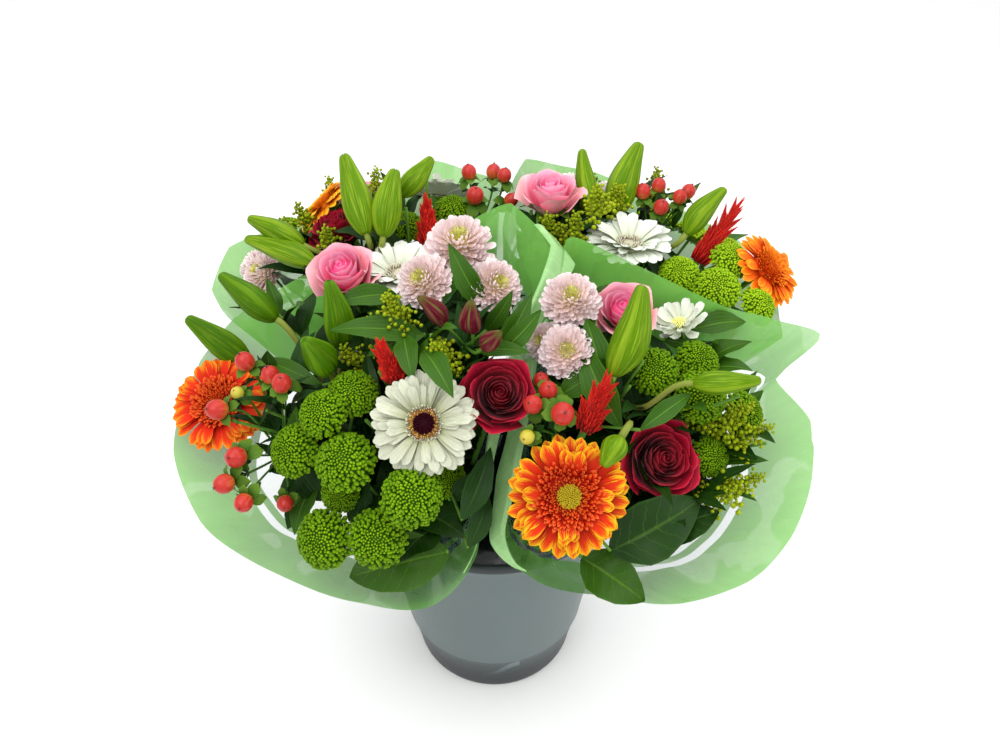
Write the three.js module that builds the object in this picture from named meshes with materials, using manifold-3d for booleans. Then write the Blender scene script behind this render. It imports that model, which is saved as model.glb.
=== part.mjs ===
// A florist's bucket of mixed cut flowers: four bouquets, each in its own wrap of
// green-edged clear film, standing together in one grey plastic bucket of water.
// Millimetres, +Z up. The origin is the middle of the bucket's underside, -Y is the front.
import * as THREE from "three";
import { ConvexGeometry } from "three/addons/geometries/ConvexGeometry.js";
import { mergeVertices } from "three/addons/utils/BufferGeometryUtils.js";
import Module from "manifold-3d";

const wasm = await Module();
wasm.setup();

// Driving sizes
const bucket = { height: 240, baseRadius: 85, topRadius: 117, wall: 2.2, floor: 3, lip: 3, step: 46 };
const waterLevel = 110;
const seat = 0.3; // gap left wherever two pieces touch
const film = 0.9; // thickness of a wrap
const around = 20; // sides of a wrap
const bundle = { radius: 16.8, low: 172, high: 196, footSpread: 19 };
const tie = { height: 185, depth: 12, wall: 2 };
const mouth = { height: 248, girth: 37 }; // where a wrap leaves the bucket
const belt = { out: 0.56, up: 0.46 }; // how far out and up a wrap is at its middle
const stemHole = 29;
const stem = { radius: 2.6, steps: 3, fan: 1.9, straight: 20, cutRadius: 3.4, cutCount: 6 };

// Small helpers
const vec = (p) => new THREE.Vector3(...p);
const mix = (a, b, t) => a + (b - a) * t;
const mixPoint = (a, b, t) => a.map((n, i) => mix(n, b[i], t));
const turn = (count, i) => (i / count) * Math.PI * 2;
const alternate = (i, k, low) => ((i + k) % 2 ? 1 : low);

// A flower's own frame, whose Z axis is the way it faces, set in the part's frame
function frameAt(at, face) {
  const w = vec(face).normalize();
  const u = new THREE.Vector3(0, 0, 1).cross(w);
  if (u.length() < 0.05) u.set(1, 0, 0);
  u.normalize();
  return new THREE.Matrix4().makeBasis(u, w.clone().cross(u), w).setPosition(vec(at));
}

// A geometry whose shared points are merged, as a solid that can be joined and cut
function solidOf(geometry) {
  geometry.deleteAttribute("normal");
  geometry.deleteAttribute("uv");
  const merged = mergeVertices(geometry, 1e-4);
  const index = merged.index.array;
  const kept = [];
  for (let i = 0; i < index.length; i += 3) {
    const [a, b, c] = index.slice(i, i + 3);
    if (a !== b && b !== c && c !== a) kept.push(a, b, c);
  }
  const vertProperties = merged.attributes.position.array;
  return new wasm.Manifold(new wasm.Mesh({ numProp: 3, vertProperties, triVerts: new Uint32Array(kept) }));
}

const fuse = (solids) => wasm.Manifold.union(solids);

// A geometry from points and the faces between them, turned to face out
function facesGeometry(points, faces) {
  const volume = faces.reduce(
    (sum, [a, b, c]) => sum + points[a].dot(points[b].clone().cross(points[c])),
    0,
  );
  const outward = volume < 0 ? faces.map(([a, b, c]) => [a, c, b]) : faces;
  return new THREE.BufferGeometry().setFromPoints(points).setIndex(outward.flat());
}

// Sections of equal point count joined into a closed body; the last may be a single point
function loftGeometry(sections) {
  const n = sections[0].length;
  const faces = [];
  for (let i = 1; i < n - 1; i++) faces.push([0, i + 1, i]);
  sections.slice(1).forEach((section, k) => {
    const low = k * n;
    const high = low + n;
    for (let i = 0; i < n; i++) {
      const j = (i + 1) % n;
      if (section.length === 1) faces.push([low + i, low + j, high]);
      else faces.push([low + i, low + j, high + j], [low + i, high + j, high + i]);
    }
    if (k === sections.length - 2 && section.length > 1)
      for (let i = 1; i < n - 1; i++) faces.push([high, high + i, high + i + 1]);
  });
  return facesGeometry(sections.flat(), faces);
}

// A body of revolution about Z from [radius, height] pairs; wave scales single points
function turned(profile, sides, wave = () => 1) {
  const points = profile.map(([r, z]) => new THREE.Vector2(r, z));
  const geometry = new THREE.LatheGeometry(points, sides);
  const position = geometry.attributes.position;
  for (let n = 0; n < position.count; n++) {
    const i = Math.floor(n / profile.length) % sides;
    const k = n % profile.length;
    const f = wave(i, k);
    position.setX(n, position.getX(n) * f);
    position.setZ(n, position.getZ(n) * f);
  }
  return geometry.rotateX(Math.PI / 2);
}

const scaled = (profile, r) => profile.map(([x, z]) => [x * r, z * r]);

// A round stem of a few sides along a smooth curve through hand-chosen points
function tube(path, radius, steps, sides) {
  const section = new THREE.Shape(
    Array.from({ length: sides }, (_, i) =>
      new THREE.Vector2(radius * Math.cos(turn(sides, i)), radius * Math.sin(turn(sides, i))),
    ),
  );
  const extrudePath = new THREE.CatmullRomCurve3(path.map(vec), false, "centripetal");
  return new THREE.ExtrudeGeometry(section, { steps, extrudePath, bevelEnabled: false });
}

// What a body needs kept clear round it: its hull, a little larger
function clearanceOf(solid, gap = 0.5) {
  const mesh = solid.getMesh();
  const points = [];
  for (let i = 0; i < mesh.numVert; i++) points.push(vec(mesh.vertProperties.slice(3 * i, 3 * i + 3)));
  const { center } = new THREE.Box3().setFromPoints(points).getBoundingSphere(new THREE.Sphere());
  for (const p of points) p.add(p.clone().sub(center).setLength(gap));
  return solidOf(new ConvexGeometry(points));
}

// The largest closed body of a solid that has been cut
function wholeBody(solid) {
  return solid.decompose().reduce((best, s) => (s.volume() > best.volume() ? s : best));
}

function boxesMeet(a, b) {
  const p = a.boundingBox();
  const q = b.boundingBox();
  return [0, 1, 2].every((i) => p.min[i] <= q.max[i] && q.min[i] <= p.max[i]);
}

function cutClear(solid, cutters) {
  const near = cutters.filter((c) => boxesMeet(solid, c));
  return wholeBody(near.length ? solid.subtract(fuse(near)) : solid);
}

// A gerbera: a domed disc whose rim spreads into petals, narrow at the disc and wide at the
// end, each thickened by a rib below
function gerbera({ at, face, across, rays = 15, frilled = false }) {
  const r = across / 2;
  const ring = (out, z, shift = 0) =>
    Array.from({ length: rays }, (_, i) => {
      const a = turn(rays, i + shift);
      const f = frilled && out === frill ? alternate(i, 0, 0.76) : 1;
      return new THREE.Vector3(out * f * r * Math.cos(a), out * f * r * Math.sin(a), z * r);
    });
  const frill = 0.42;
  const rings = {
    crown: ring(frilled ? 0.2 : 0.16, frilled ? 0.22 : 0.15),
    disc: ring(frilled ? frill : 0.3, frilled ? 0.12 : 0.07),
    gaps: ring(0.36, 0),
    neck: ring(0.26, -0.12),
    left: ring(0.94, 0.03, 0.16),
    tip: ring(1, 0.02, 0.5),
    right: ring(0.94, 0.03, 0.84),
    rib: ring(0.66, -0.06, 0.5),
  };
  const names = Object.keys(rings);
  const id = (name, i) => names.indexOf(name) * rays + (i % rays);
  const top = names.length * rays;
  const faces = [];
  const fan = (corners) => {
    for (let k = 1; k < corners.length - 1; k++) faces.push([corners[0], corners[k], corners[k + 1]]);
  };
  for (let i = 0; i < rays; i++) {
    const j = i + 1;
    const edge = [id("gaps", i), id("left", i), id("tip", i), id("right", i), id("gaps", j)];
    fan([top, id("crown", i), id("crown", j)]);
    fan([id("crown", i), id("disc", i), id("disc", j), id("crown", j)]);
    fan([id("disc", i), ...edge, id("disc", j)]);
    const under = [id("neck", j), ...edge.reverse(), id("neck", i), id("neck", j)];
    for (let k = 0; k < under.length - 1; k++) faces.push([id("rib", i), under[k], under[k + 1]]);
    fan([top + 1, id("neck", j), id("neck", i)]);
  }
  const poles = [0.1, -0.34].map((z) => new THREE.Vector3(0, 0, z * r));
  const points = [...Object.values(rings).flat(), ...poles];
  return solidOf(facesGeometry(points, faces).applyMatrix4(frameAt(at, face)));
}

// A rose: three rings of petals, each a rim that stands clear of the next by a groove
function rose({ at, face, across }) {
  const profile = [
    [0, -1.05],
    [0.3, -0.98],
    [0.72, -0.5],
    [1, 0],
    [0.86, 0.04],
    [0.66, -0.26],
    [0.72, 0.22],
    [0.58, 0.25],
    [0.42, -0.02],
    [0.34, 0.34],
    [0, 0.06],
  ];
  const innerRims = 6;
  const petals = turned(scaled(profile, across / 2), 10, (i, k) => alternate(i, k >= innerRims ? 1 : 0, 0.86));
  return solidOf(petals.applyMatrix4(frameAt(at, face)));
}

// A green button chrysanthemum: a dense dome with its florets raised all over
function button({ at, face, across }) {
  const profile = [[0, -0.52], [0.88, -0.24], [0.98, 0.2], [0.52, 0.6], [0, 0.64]];
  const dome = turned(scaled(profile, across / 2), 8, (i, k) => alternate(i, k, 0.85));
  return solidOf(dome.applyMatrix4(frameAt(at, face)));
}

// A spray chrysanthemum: layers of petals round a small eye
function daisy({ at, face, across }) {
  const profile = [[0, -0.42], [0.4, -0.26], [1, -0.03], [0.68, 0.24], [0.3, 0.32], [0, 0.2]];
  const notched = (i, k) => (k === 2 || k === 3 ? alternate(i, k, 0.76) : 1);
  const petals = turned(scaled(profile, across / 2), 10, notched);
  return solidOf(petals.applyMatrix4(frameAt(at, face)));
}

function berry({ at, face, across }) {
  const profile = [[0, -1.05], [0.92, -0.45], [0.86, 0.55], [0, 1.2]];
  return solidOf(turned(scaled(profile, across / 2), 5).applyMatrix4(frameAt(at, face)));
}

// A closed, ribbed bud from its base to its tip
function bud({ from, to, girth }) {
  const along = vec(to).sub(vec(from));
  const profile = [[0, 0], [1, 0.4], [0.76, 0.78], [0, 1]].map(([x, t]) => [
    (x * girth) / 2,
    t * along.length(),
  ]);
  const ribbed = turned(profile, 6, (i) => alternate(i, 0, 0.82));
  return solidOf(ribbed.applyMatrix4(frameAt(from, along.toArray())));
}

// A feathery plume: a cone whose spikes stand out all round
function plume({ from, to, girth }) {
  const along = vec(to).sub(vec(from));
  const profile = [[0, 0], [0.4, 0.02], [1, 0.22], [0.92, 0.4], [0.74, 0.58], [0.54, 0.76], [0, 1]].map(
    ([x, t]) => [(x * girth) / 2, t * along.length()],
  );
  const spiky = turned(profile, 8, (i, k) => alternate(i, k, 0.45));
  return solidOf(spiky.applyMatrix4(frameAt(from, along.toArray())));
}

// Heads on stalks of their own that meet at one fork
function spray({ heads, fork }, make, stalk) {
  const knob = (r) => solidOf(turned([[0, -r], [r, 0], [0, r]], 4).applyMatrix4(frameAt(fork, [0, 0, 1])));
  const size = stalk * 2.4;
  const parts = [knob(size)];
  const clear = [knob(size + 2 * seat)];
  for (const head of heads) {
    const body = make(head);
    const end = head.from ? mixPoint(head.from, head.to, 0.1) : head.at;
    const path = [fork, ...(head.via ? [head.via] : []), end];
    const steps = head.via ? 3 : 1;
    parts.push(body, solidOf(tube(path, stalk, steps, 3)));
    clear.push(clearanceOf(body), solidOf(tube(path, stalk + 2 * seat, steps, 3)));
  }
  return { solid: fuse(parts), clear, foot: fork, face: [0, 0, 1], sides: 3 };
}

function single(solid, at, face, sunk) {
  const foot = vec(at).addScaledVector(vec(face).normalize(), -sunk).toArray();
  return { solid, clear: [clearanceOf(solid)], foot, face, sides: 4 };
}

const makers = {
  gerbera: (f) => single(gerbera(f), f.at, f.face, 0.12 * f.across),
  rose: (f) => single(rose(f), f.at, f.face, 0.45 * f.across),
  plume: (f) => single(plume(f), f.from, mixPoint(f.from, f.to, 1).map((n, i) => n - f.from[i]), -3),
  daisies: (f) => spray(f, daisy, 1.3),
  buttons: (f) => spray(f, button, 1.4),
  berries: (f) => spray(f, berry, 1.1),
  lilies: (f) => spray(f, bud, 2),
  buds: (f) => spray(f, bud, 1.3),
};

// The four bouquets, placed by hand. foot and mouth are where a bundle stands and where it
// leaves the bucket, spread is the middle of its wrap's edge, and edge runs round it.
const bouquets = {
  front_left: {
    foot: [-36, -34],
    mouth: [-54, -52],
    spread: [-100, -62],
    edge: [
      [22, -45, 438], [38, -18, 464], [46, 8, 478], [14, 52, 492], [-20, 46, 478], [-62, 42, 455],
      [-105, 46, 440], [-165, 48, 425], [-219, 13, 405], [-243, -21, 385], [-255, -86, 345],
      [-232, -124, 305], [-181, -154, 288], [-109, -180, 279], [-66, -185, 274], [-34, -180, 284],
      [-14, -156, 302], [-10, -127, 330], [-3, -95, 372], [9, -68, 410],
    ],
    flowers: {
      orange_gerbera: {
        kind: "gerbera",
        at: [-217, -62, 374],
        face: [-0.35, -0.6, 0.72],
        across: 74,
        frilled: true,
      },
      white_gerbera: { kind: "gerbera", at: [-49, -137, 418], face: [0, -0.72, 0.7], across: 79 },
      rear_white_gerbera: { kind: "gerbera", at: [-76, 12, 448], face: [-0.1, -0.45, 0.88], across: 72 },
      red_rose: { kind: "rose", at: [3, -127, 440], face: [0.05, -0.62, 0.78], across: 51 },
      pink_rose: { kind: "rose", at: [-118, -10, 468], face: [-0.1, -0.42, 0.9], across: 54 },
      lilac_daisies: {
        kind: "daisies",
        fork: [-26, -12, 405],
        heads: [
          { at: [-26, 8, 478], face: [0, -0.4, 0.9], across: 56 },
          { at: [-52, -30, 468], face: [-0.3, -0.6, 0.75], across: 46 },
          { at: [2, -24, 460], face: [0.4, -0.55, 0.7], across: 46 },
        ],
      },
      front_buttons: {
        kind: "buttons",
        fork: [-86, -120, 322],
        heads: [
          { at: [-123, -172, 337], face: [-0.25, -0.7, 0.65], across: 43 },
          { at: [-82, -178, 345], face: [0, -0.7, 0.7], across: 42 },
          { at: [-55, -174, 383], face: [0.15, -0.65, 0.75], across: 42 },
          { at: [-104, -149, 394], face: [-0.1, -0.5, 0.87], across: 43 },
          { at: [-34, -126, 352], face: [0.3, -0.7, 0.6], across: 30 },
        ],
      },
      side_buttons: {
        kind: "buttons",
        fork: [-116, -92, 350],
        heads: [
          { at: [-146, -130, 386], face: [-0.4, -0.6, 0.7], across: 39 },
          { at: [-122, -122, 416], face: [-0.25, -0.5, 0.8], across: 36 },
          { at: [-102, -104, 420], face: [0.05, -0.45, 0.88], across: 36 },
          { at: [-114, -142, 352], face: [-0.1, -0.8, 0.5], across: 28 },
        ],
      },
      coral_berries: {
        kind: "berries",
        fork: [-166, -92, 345],
        heads: [
          { at: [-185, -77, 427], face: [-0.3, -0.1, 0.9], across: 15 },
          { at: [-201, -110, 408], face: [-0.6, -0.5, 0.5], across: 16 },
          { at: [-152, -104, 428], face: [0.1, -0.4, 0.9], across: 15 },
          { at: [-163, -92, 426], face: [-0.2, 0, 0.95], across: 14 },
          { at: [-185, -137, 386], face: [-0.3, -0.7, 0.6], across: 16 },
          { at: [-193, -150, 372], face: [-0.6, -0.7, 0.2], across: 15 },
          { at: [-178, -161, 364], face: [-0.1, -0.9, 0.2], across: 14 },
          { at: [-156, -140, 341], face: [0.1, -0.9, 0.2], across: 13 },
          { at: [-188, -98, 414], face: [-0.2, -0.5, 0.8], across: 10 },
        ],
      },
      lily_buds: {
        kind: "lilies",
        fork: [-128, -54, 372],
        heads: [
          { from: [-203, -22, 384], to: [-248, -14, 424], girth: 25 },
          { from: [-169, -34, 436], to: [-212, -16, 466], girth: 23 },
          { from: [-122, -84, 424], to: [-131, -100, 464], girth: 25 },
          { from: [-116, -60, 430], to: [-119, -54, 484], girth: 24 },
        ],
      },
      red_plume: { kind: "plume", from: [-70, -94, 424], to: [-80, -104, 468], girth: 26 },
      alstroemeria_buds: {
        kind: "buds",
        fork: [-20, -70, 436],
        heads: [
          { from: [-34, -78, 462], to: [-50, -82, 488], girth: 18 },
          { from: [-14, -82, 458], to: [-14, -86, 486], girth: 20 },
          { from: [-6, -98, 456], to: [6, -108, 474], girth: 16 },
        ],
      },
    },
    leaves: [
      { from: [-24, -62, 428], to: [-26, -48, 500], width: 20, droop: 0.05, up: [0, -1, 0.3] },
      { from: [-50, -68, 450], to: [-102, -66, 472], width: 20 },
      { from: [-48, -94, 450], to: [-52, -128, 446], width: 17 },
      { from: [-30, -98, 446], to: [-24, -134, 452], width: 15 },
      { from: [4, -84, 440], to: [30, -62, 478], width: 16, up: [0, -1, 0.4] },
      { from: [0, -74, 440], to: [6, -58, 484], width: 15, up: [0, -1, 0.2] },
      { from: [-176, -46, 392], to: [-172, -62, 426], width: 18, up: [0, -1, 0.3] },
      { from: [-74, -130, 320], to: [-54, -182, 316], width: 44, droop: 0.1 },
      { from: [-66, -128, 318], to: [-22, -158, 330], width: 36, droop: 0.1 },
      { from: [-140, -104, 330], to: [-152, -148, 316], width: 20 },
      { from: [-150, -90, 360], to: [-146, -104, 402], width: 18, up: [0, -1, 0.3] },
    ],
    goldenrod: [
      [[-60, -60, 430], [-74, -72, 482]],
      [[-34, -88, 430], [-40, -104, 462]],
    ],
  },
  front_right: {
    foot: [36, -34],
    mouth: [54, -52],
    spread: [120, -66],
    edge: [
      [256, -67, 360], [228, -46, 386], [267, -17, 410], [191, -10, 430], [128, 2, 455], [66, 26, 474],
      [58, 4, 474], [50, -22, 452], [36, -56, 418], [27, -92, 375], [16, -130, 338], [10, -150, 316],
      [20, -165, 298], [40, -171, 290], [83, -176, 280], [144, -181, 275], [196, -166, 284],
      [234, -138, 303], [253, -105, 330],
    ],
    flowers: {
      orange_gerbera: {
        kind: "gerbera",
        at: [54, -168, 378],
        face: [0.03, -0.74, 0.67],
        across: 86,
        frilled: true,
      },
      red_rose: { kind: "rose", at: [127, -128, 376], face: [0.25, -0.62, 0.74], across: 56 },
      pink_rose: { kind: "rose", at: [101, -38, 450], face: [-0.1, -0.45, 0.88], across: 50 },
      lilac_daisies: {
        kind: "daisies",
        fork: [52, -52, 385],
        heads: [
          { at: [59, -47, 462], face: [0, -0.5, 0.85], across: 47 },
          { at: [55, -82, 440], face: [-0.05, -0.7, 0.7], across: 42 },
          { at: [40, -56, 430], face: [-0.5, -0.5, 0.6], across: 32 },
        ],
      },
      white_daisy: {
        kind: "daisies",
        fork: [140, -38, 372],
        heads: [{ at: [148, -30, 428], face: [0.2, -0.45, 0.85], across: 46 }],
      },
      green_buttons: {
        kind: "buttons",
        fork: [150, -66, 350],
        heads: [
          { at: [121, -84, 424], face: [-0.1, -0.6, 0.8], across: 36 },
          { at: [158, -66, 420], face: [0.2, -0.5, 0.85], across: 34 },
          { at: [157, -94, 408], face: [0.15, -0.65, 0.75], across: 40 },
          { at: [141, -82, 378], face: [0, -0.7, 0.7], across: 32 },
          { at: [195, -88, 386], face: [0.5, -0.5, 0.7], across: 35 },
          { at: [168, -112, 362], face: [0.3, -0.7, 0.6], across: 31 },
        ],
      },
      coral_berries: {
        kind: "berries",
        fork: [48, -104, 378],
        heads: [
          { at: [40, -117, 432], face: [0, -0.5, 0.85], across: 14 },
          { at: [29, -130, 430], face: [-0.4, -0.6, 0.7], across: 14 },
          { at: [49, -141, 431], face: [0.1, -0.7, 0.7], across: 17 },
          { at: [25, -146, 414], face: [-0.4, -0.8, 0.4], across: 11 },
          { at: [36, -98, 426], face: [-0.1, -0.3, 0.95], across: 12 },
        ],
      },
      red_plume: { kind: "plume", from: [69, -116, 396], to: [81, -130, 456], girth: 28 },
      lily_buds: {
        kind: "lilies",
        fork: [106, -72, 380],
        heads: [
          { from: [88, -102, 434], to: [106, -76, 494], girth: 28 },
          { from: [145, -107, 430], to: [190, -116, 440], girth: 18, via: [114, -106, 408] },
          { from: [90, -148, 416], to: [77, -163, 402], girth: 19, via: [100, -118, 398] },
        ],
      },
    },
    leaves: [
      { from: [78, -92, 392], to: [74, -78, 436], width: 14, up: [0, -1, 0.4] },
      { from: [108, -122, 322], to: [150, -158, 326], width: 40 },
      { from: [128, -108, 330], to: [176, -132, 352], width: 34 },
      { from: [84, -124, 318], to: [112, -188, 286], width: 32, droop: 0.22 },
      { from: [160, -100, 330], to: [208, -118, 366], width: 20 },
      { from: [160, -104, 322], to: [200, -138, 342], width: 18 },
      { from: [168, -40, 392], to: [206, -36, 416], width: 22 },
      { from: [164, -44, 390], to: [204, -58, 404], width: 20 },
      { from: [166, -34, 386], to: [186, -24, 422], width: 18 },
      { from: [52, -76, 390], to: [40, -92, 420], width: 18 },
    ],
    goldenrod: [
      [[150, -96, 372], [206, -112, 404]],
      [[150, -104, 345], [196, -130, 352]],
    ],
  },
  back_left: {
    foot: [-36, 34],
    mouth: [-54, 52],
    spread: [-122, 118],
    edge: [
      [-2, 116, 427], [4, 166, 458], [-58, 202, 462], [-120, 208, 428], [-182, 196, 402], [-225, 162, 406],
      [-250, 126, 410], [-262, 88, 386], [-240, 66, 364], [-196, 70, 376], [-150, 72, 392],
      [-100, 68, 404], [-58, 66, 414], [-22, 78, 428],
    ],
    flowers: {
      orange_gerbera: {
        kind: "gerbera",
        at: [-172, 132, 452],
        face: [-0.45, 0.1, 0.88],
        across: 74,
        frilled: true,
      },
      red_rose: { kind: "rose", at: [-140, 92, 452], face: [-0.2, -0.1, 0.97], across: 48 },
      white_gerbera: { kind: "gerbera", at: [-53, 154, 454], face: [0.1, 0.4, 0.9], across: 68 },
      pink_rose: { kind: "rose", at: [-126, 158, 452], face: [-0.15, 0.4, 0.9], across: 52 },
      lilac_daisies: {
        kind: "daisies",
        fork: [-190, 96, 360],
        heads: [
          { at: [-211, 88, 402], face: [-0.5, -0.4, 0.75], across: 44 },
          { at: [-223, 106, 399], face: [-0.8, 0, 0.6], across: 38 },
        ],
      },
      green_buttons: {
        kind: "buttons",
        fork: [-76, 122, 385],
        heads: [
          { at: [-36, 108, 458], face: [0.1, -0.2, 0.97], across: 36 },
          { at: [-80, 104, 444], face: [0, -0.2, 0.97], across: 36 },
        ],
      },
      rear_buttons: {
        kind: "buttons",
        fork: [-130, 152, 362],
        heads: [
          { at: [-168, 170, 410], face: [-0.4, 0.6, 0.7], across: 40 },
          { at: [-132, 180, 412], face: [0, 0.75, 0.65], across: 36 },
          { at: [-202, 146, 416], face: [-0.6, 0.3, 0.7], across: 36 },
        ],
      },
      coral_berries: {
        kind: "berries",
        fork: [-14, 122, 430],
        heads: [
          { at: [-22, 132, 482], face: [-0.1, 0, 1], across: 14 },
          { at: [-16, 102, 474], face: [0.1, -0.3, 0.95], across: 16 },
          { at: [10, 126, 482], face: [0.2, 0, 0.97], across: 13 },
          { at: [16, 118, 462], face: [0.6, -0.3, 0.7], across: 13 },
          { at: [0, 146, 476], face: [0.1, 0.4, 0.9], across: 14 },
        ],
      },
      lily_buds: {
        kind: "lilies",
        fork: [-114, 86, 404],
        heads: [
          { from: [-104, 40, 470], to: [-125, 92, 517], girth: 27, via: [-106, 64, 446] },
          { from: [-90, 36, 470], to: [-81, 76, 511], girth: 26, via: [-98, 64, 446] },
          { from: [-80, 90, 480], to: [-52, 106, 508], girth: 21, via: [-98, 84, 446] },
          { from: [-164, 64, 446], to: [-213, 82, 463], girth: 22, via: [-136, 70, 428] },
          { from: [-152, 46, 438], to: [-216, 72, 448], girth: 23, via: [-132, 62, 424] },
        ],
      },
      red_plume: { kind: "plume", from: [-59, 80, 436], to: [-65, 86, 482], girth: 25 },
    },
    leaves: [
      { from: [-42, 90, 420], to: [-22, 74, 452], width: 16 },
      { from: [-150, 100, 400], to: [-186, 66, 430], width: 20 },
      { from: [-88, 150, 424], to: [-92, 168, 484], width: 16, up: [0, 1, 0.3] },
    ],
    goldenrod: [
      [[-178, 94, 418], [-186, 88, 456]],
      [[-108, 118, 430], [-104, 122, 488]],
    ],
  },
  back_right: {
    foot: [36, 34],
    mouth: [54, 52],
    spread: [132, 106],
    edge: [
      [262, 92, 386], [238, 150, 404], [172, 188, 425], [100, 202, 450], [32, 188, 470], [16, 150, 456],
      [12, 108, 440], [26, 72, 424], [70, 50, 414], [120, 36, 404], [170, 18, 392], [216, 8, 380],
      [256, 34, 372],
    ],
    flowers: {
      pink_rose: { kind: "rose", at: [50, 92, 486], face: [0, -0.12, 0.98], across: 56 },
      white_gerbera: { kind: "gerbera", at: [118, 66, 450], face: [0.05, -0.15, 0.98], across: 72 },
      orange_gerbera: {
        kind: "gerbera",
        at: [244, 54, 428],
        face: [0.72, -0.2, 0.62],
        across: 64,
        frilled: true,
      },
      red_rose: { kind: "rose", at: [200, 38, 384], face: [0.3, -0.45, 0.8], across: 36 },
      lilac_daisies: {
        kind: "daisies",
        fork: [84, 140, 385],
        heads: [
          { at: [70, 168, 446], face: [-0.1, 0.6, 0.8], across: 48 },
          { at: [112, 170, 438], face: [0.25, 0.6, 0.75], across: 44 },
        ],
      },
      green_buttons: {
        kind: "buttons",
        fork: [172, 60, 372],
        heads: [
          { at: [188, 22, 430], face: [-0.1, -0.5, 0.85], across: 39 },
          { at: [206, 54, 438], face: [0.25, -0.3, 0.9], across: 36 },
          { at: [225, 16, 416], face: [0.5, -0.45, 0.7], across: 34, via: [196, 42, 404] },
          { at: [158, 38, 434], face: [-0.15, -0.5, 0.85], across: 34 },
        ],
      },
      rear_buttons: {
        kind: "buttons",
        fork: [160, 132, 366],
        heads: [
          { at: [158, 166, 420], face: [0.2, 0.6, 0.75], across: 40 },
          { at: [192, 142, 414], face: [0.6, 0.4, 0.7], across: 38 },
          { at: [222, 112, 412], face: [0.7, 0.2, 0.7], across: 36 },
        ],
      },
      coral_berries: {
        kind: "berries",
        fork: [142, 110, 426],
        heads: [
          { at: [133, 110, 474], face: [-0.2, 0, 0.97], across: 14 },
          { at: [147, 114, 478], face: [0.1, 0.1, 0.98], across: 13 },
          { at: [147, 92, 468], face: [0.1, -0.4, 0.9], across: 14 },
          { at: [164, 100, 474], face: [0.3, -0.1, 0.95], across: 13 },
          { at: [172, 106, 476], face: [0.4, 0.1, 0.9], across: 13 },
        ],
      },
      lily_buds: {
        kind: "lilies",
        fork: [112, 118, 412],
        heads: [
          { from: [108, 104, 454], to: [130, 138, 508], girth: 29 },
          { from: [88, 92, 460], to: [78, 128, 506], girth: 21 },
          { from: [166, 66, 456], to: [198, 84, 490], girth: 22, via: [146, 82, 430] },
        ],
      },
      red_plume: { kind: "plume", from: [182, 78, 420], to: [219, 96, 474], girth: 26 },
    },
    leaves: [
      { from: [128, 96, 430], to: [150, 84, 462], width: 18 },
      { from: [168, 122, 430], to: [186, 130, 474], width: 16 },
      { from: [60, 130, 410], to: [36, 172, 464], width: 22 },
      { from: [196, 112, 392], to: [240, 134, 422], width: 22 },
      { from: [50, 126, 432], to: [20, 134, 464], width: 18 },
    ],
    goldenrod: [
      [[68, 72, 425], [70, 57, 478]],
      [[150, 134, 430], [149, 140, 480]],
    ],
  },
};

// The edge of a wrap with points added on its longest sides, in order of angle
function fullEdge({ spread, edge }) {
  const angle = ([x, y]) => Math.atan2(y - spread[1], x - spread[0]);
  const points = [...edge].sort((a, b) => angle(a) - angle(b));
  const side = (k) => vec(points[k]).distanceTo(vec(points[(k + 1) % points.length]));
  while (points.length < around) {
    const longest = points.reduce((best, _, k) => (side(k) > side(best) ? k : best), 0);
    points.splice(longest + 1, 0, mixPoint(points[longest], points[(longest + 1) % points.length], 0.5));
  }
  return points.sort((a, b) => angle(a) - angle(b));
}

const tieOf = (bouquet) => mixPoint(bouquet.foot, bouquet.mouth, 0.5);

function ringAt([x, y], radius, z, sides = around) {
  return Array.from({ length: sides }, (_, i) => {
    const a = turn(sides, i) - Math.PI;
    return vec([x + radius * Math.cos(a), y + radius * Math.sin(a), z]);
  });
}

// Two loops of rings, one inside the other, closed at both ends. Both faces of the wall are
// split into triangles alike, so that they keep clear of each other where it twists.
function sleeveGeometry(inside, outside) {
  const loop = [...inside, ...[...outside].reverse()];
  const n = loop[0].length;
  const faces = [];
  loop.forEach((_, k) => {
    const next = (k + 1) % loop.length;
    for (let i = 0; i < n; i++) {
      const j = (i + 1) % n;
      const [a, b, c, d] = [k * n + i, k * n + j, next * n + j, next * n + i];
      if (k < inside.length) faces.push([a, b, c], [a, c, d]);
      else faces.push([a, b, d], [b, c, d]);
    }
  });
  return facesGeometry(loop.flat(), faces);
}

// A wrap: film gathered at the tie, then out of the bucket's mouth to its uneven edge
function wrap(bouquet, thickness = film) {
  const neck = bundle.radius + 2 * seat + film / 2;
  const throat = ringAt(bouquet.mouth, mouth.girth, mouth.height);
  const rim = fullEdge(bouquet).map(vec);
  const belly = rim.map((p, i) => {
    const q = throat[i].clone();
    return q.set(mix(q.x, p.x, belt.out), mix(q.y, p.y, belt.out), mix(q.z, p.z, belt.up));
  });
  const low = ringAt(tieOf(bouquet), neck, bundle.low - 4);
  const high = ringAt(tieOf(bouquet), neck, bundle.high + 1);
  const rows = [low, high, throat, belly, rim];
  const offset = (way) =>
    rows.map((row, k) =>
      row.map((p, i) => {
        const up = rows[Math.min(k + 1, rows.length - 1)][i].clone().sub(rows[Math.max(k - 1, 0)][i]);
        const on = row[(i + 1) % around].clone().sub(row[(i + around - 1) % around]);
        return p.clone().addScaledVector(on.cross(up).normalize(), (way * thickness) / 2);
      }),
    );
  return solidOf(sleeveGeometry(offset(-1), offset(1)));
}

// The band that holds a wrap and its stems together
function tieBand(bouquet) {
  const sides = around / 2;
  const inner = (bundle.radius + 3 * seat + film) / Math.cos(Math.PI / sides);
  const ends = [tie.height - tie.depth / 2, tie.height + tie.depth / 2];
  const rings = (radius) => ends.map((z) => ringAt(tieOf(bouquet), radius, z, sides));
  return solidOf(sleeveGeometry(rings(inner), rings(inner + tie.wall)));
}

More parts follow.
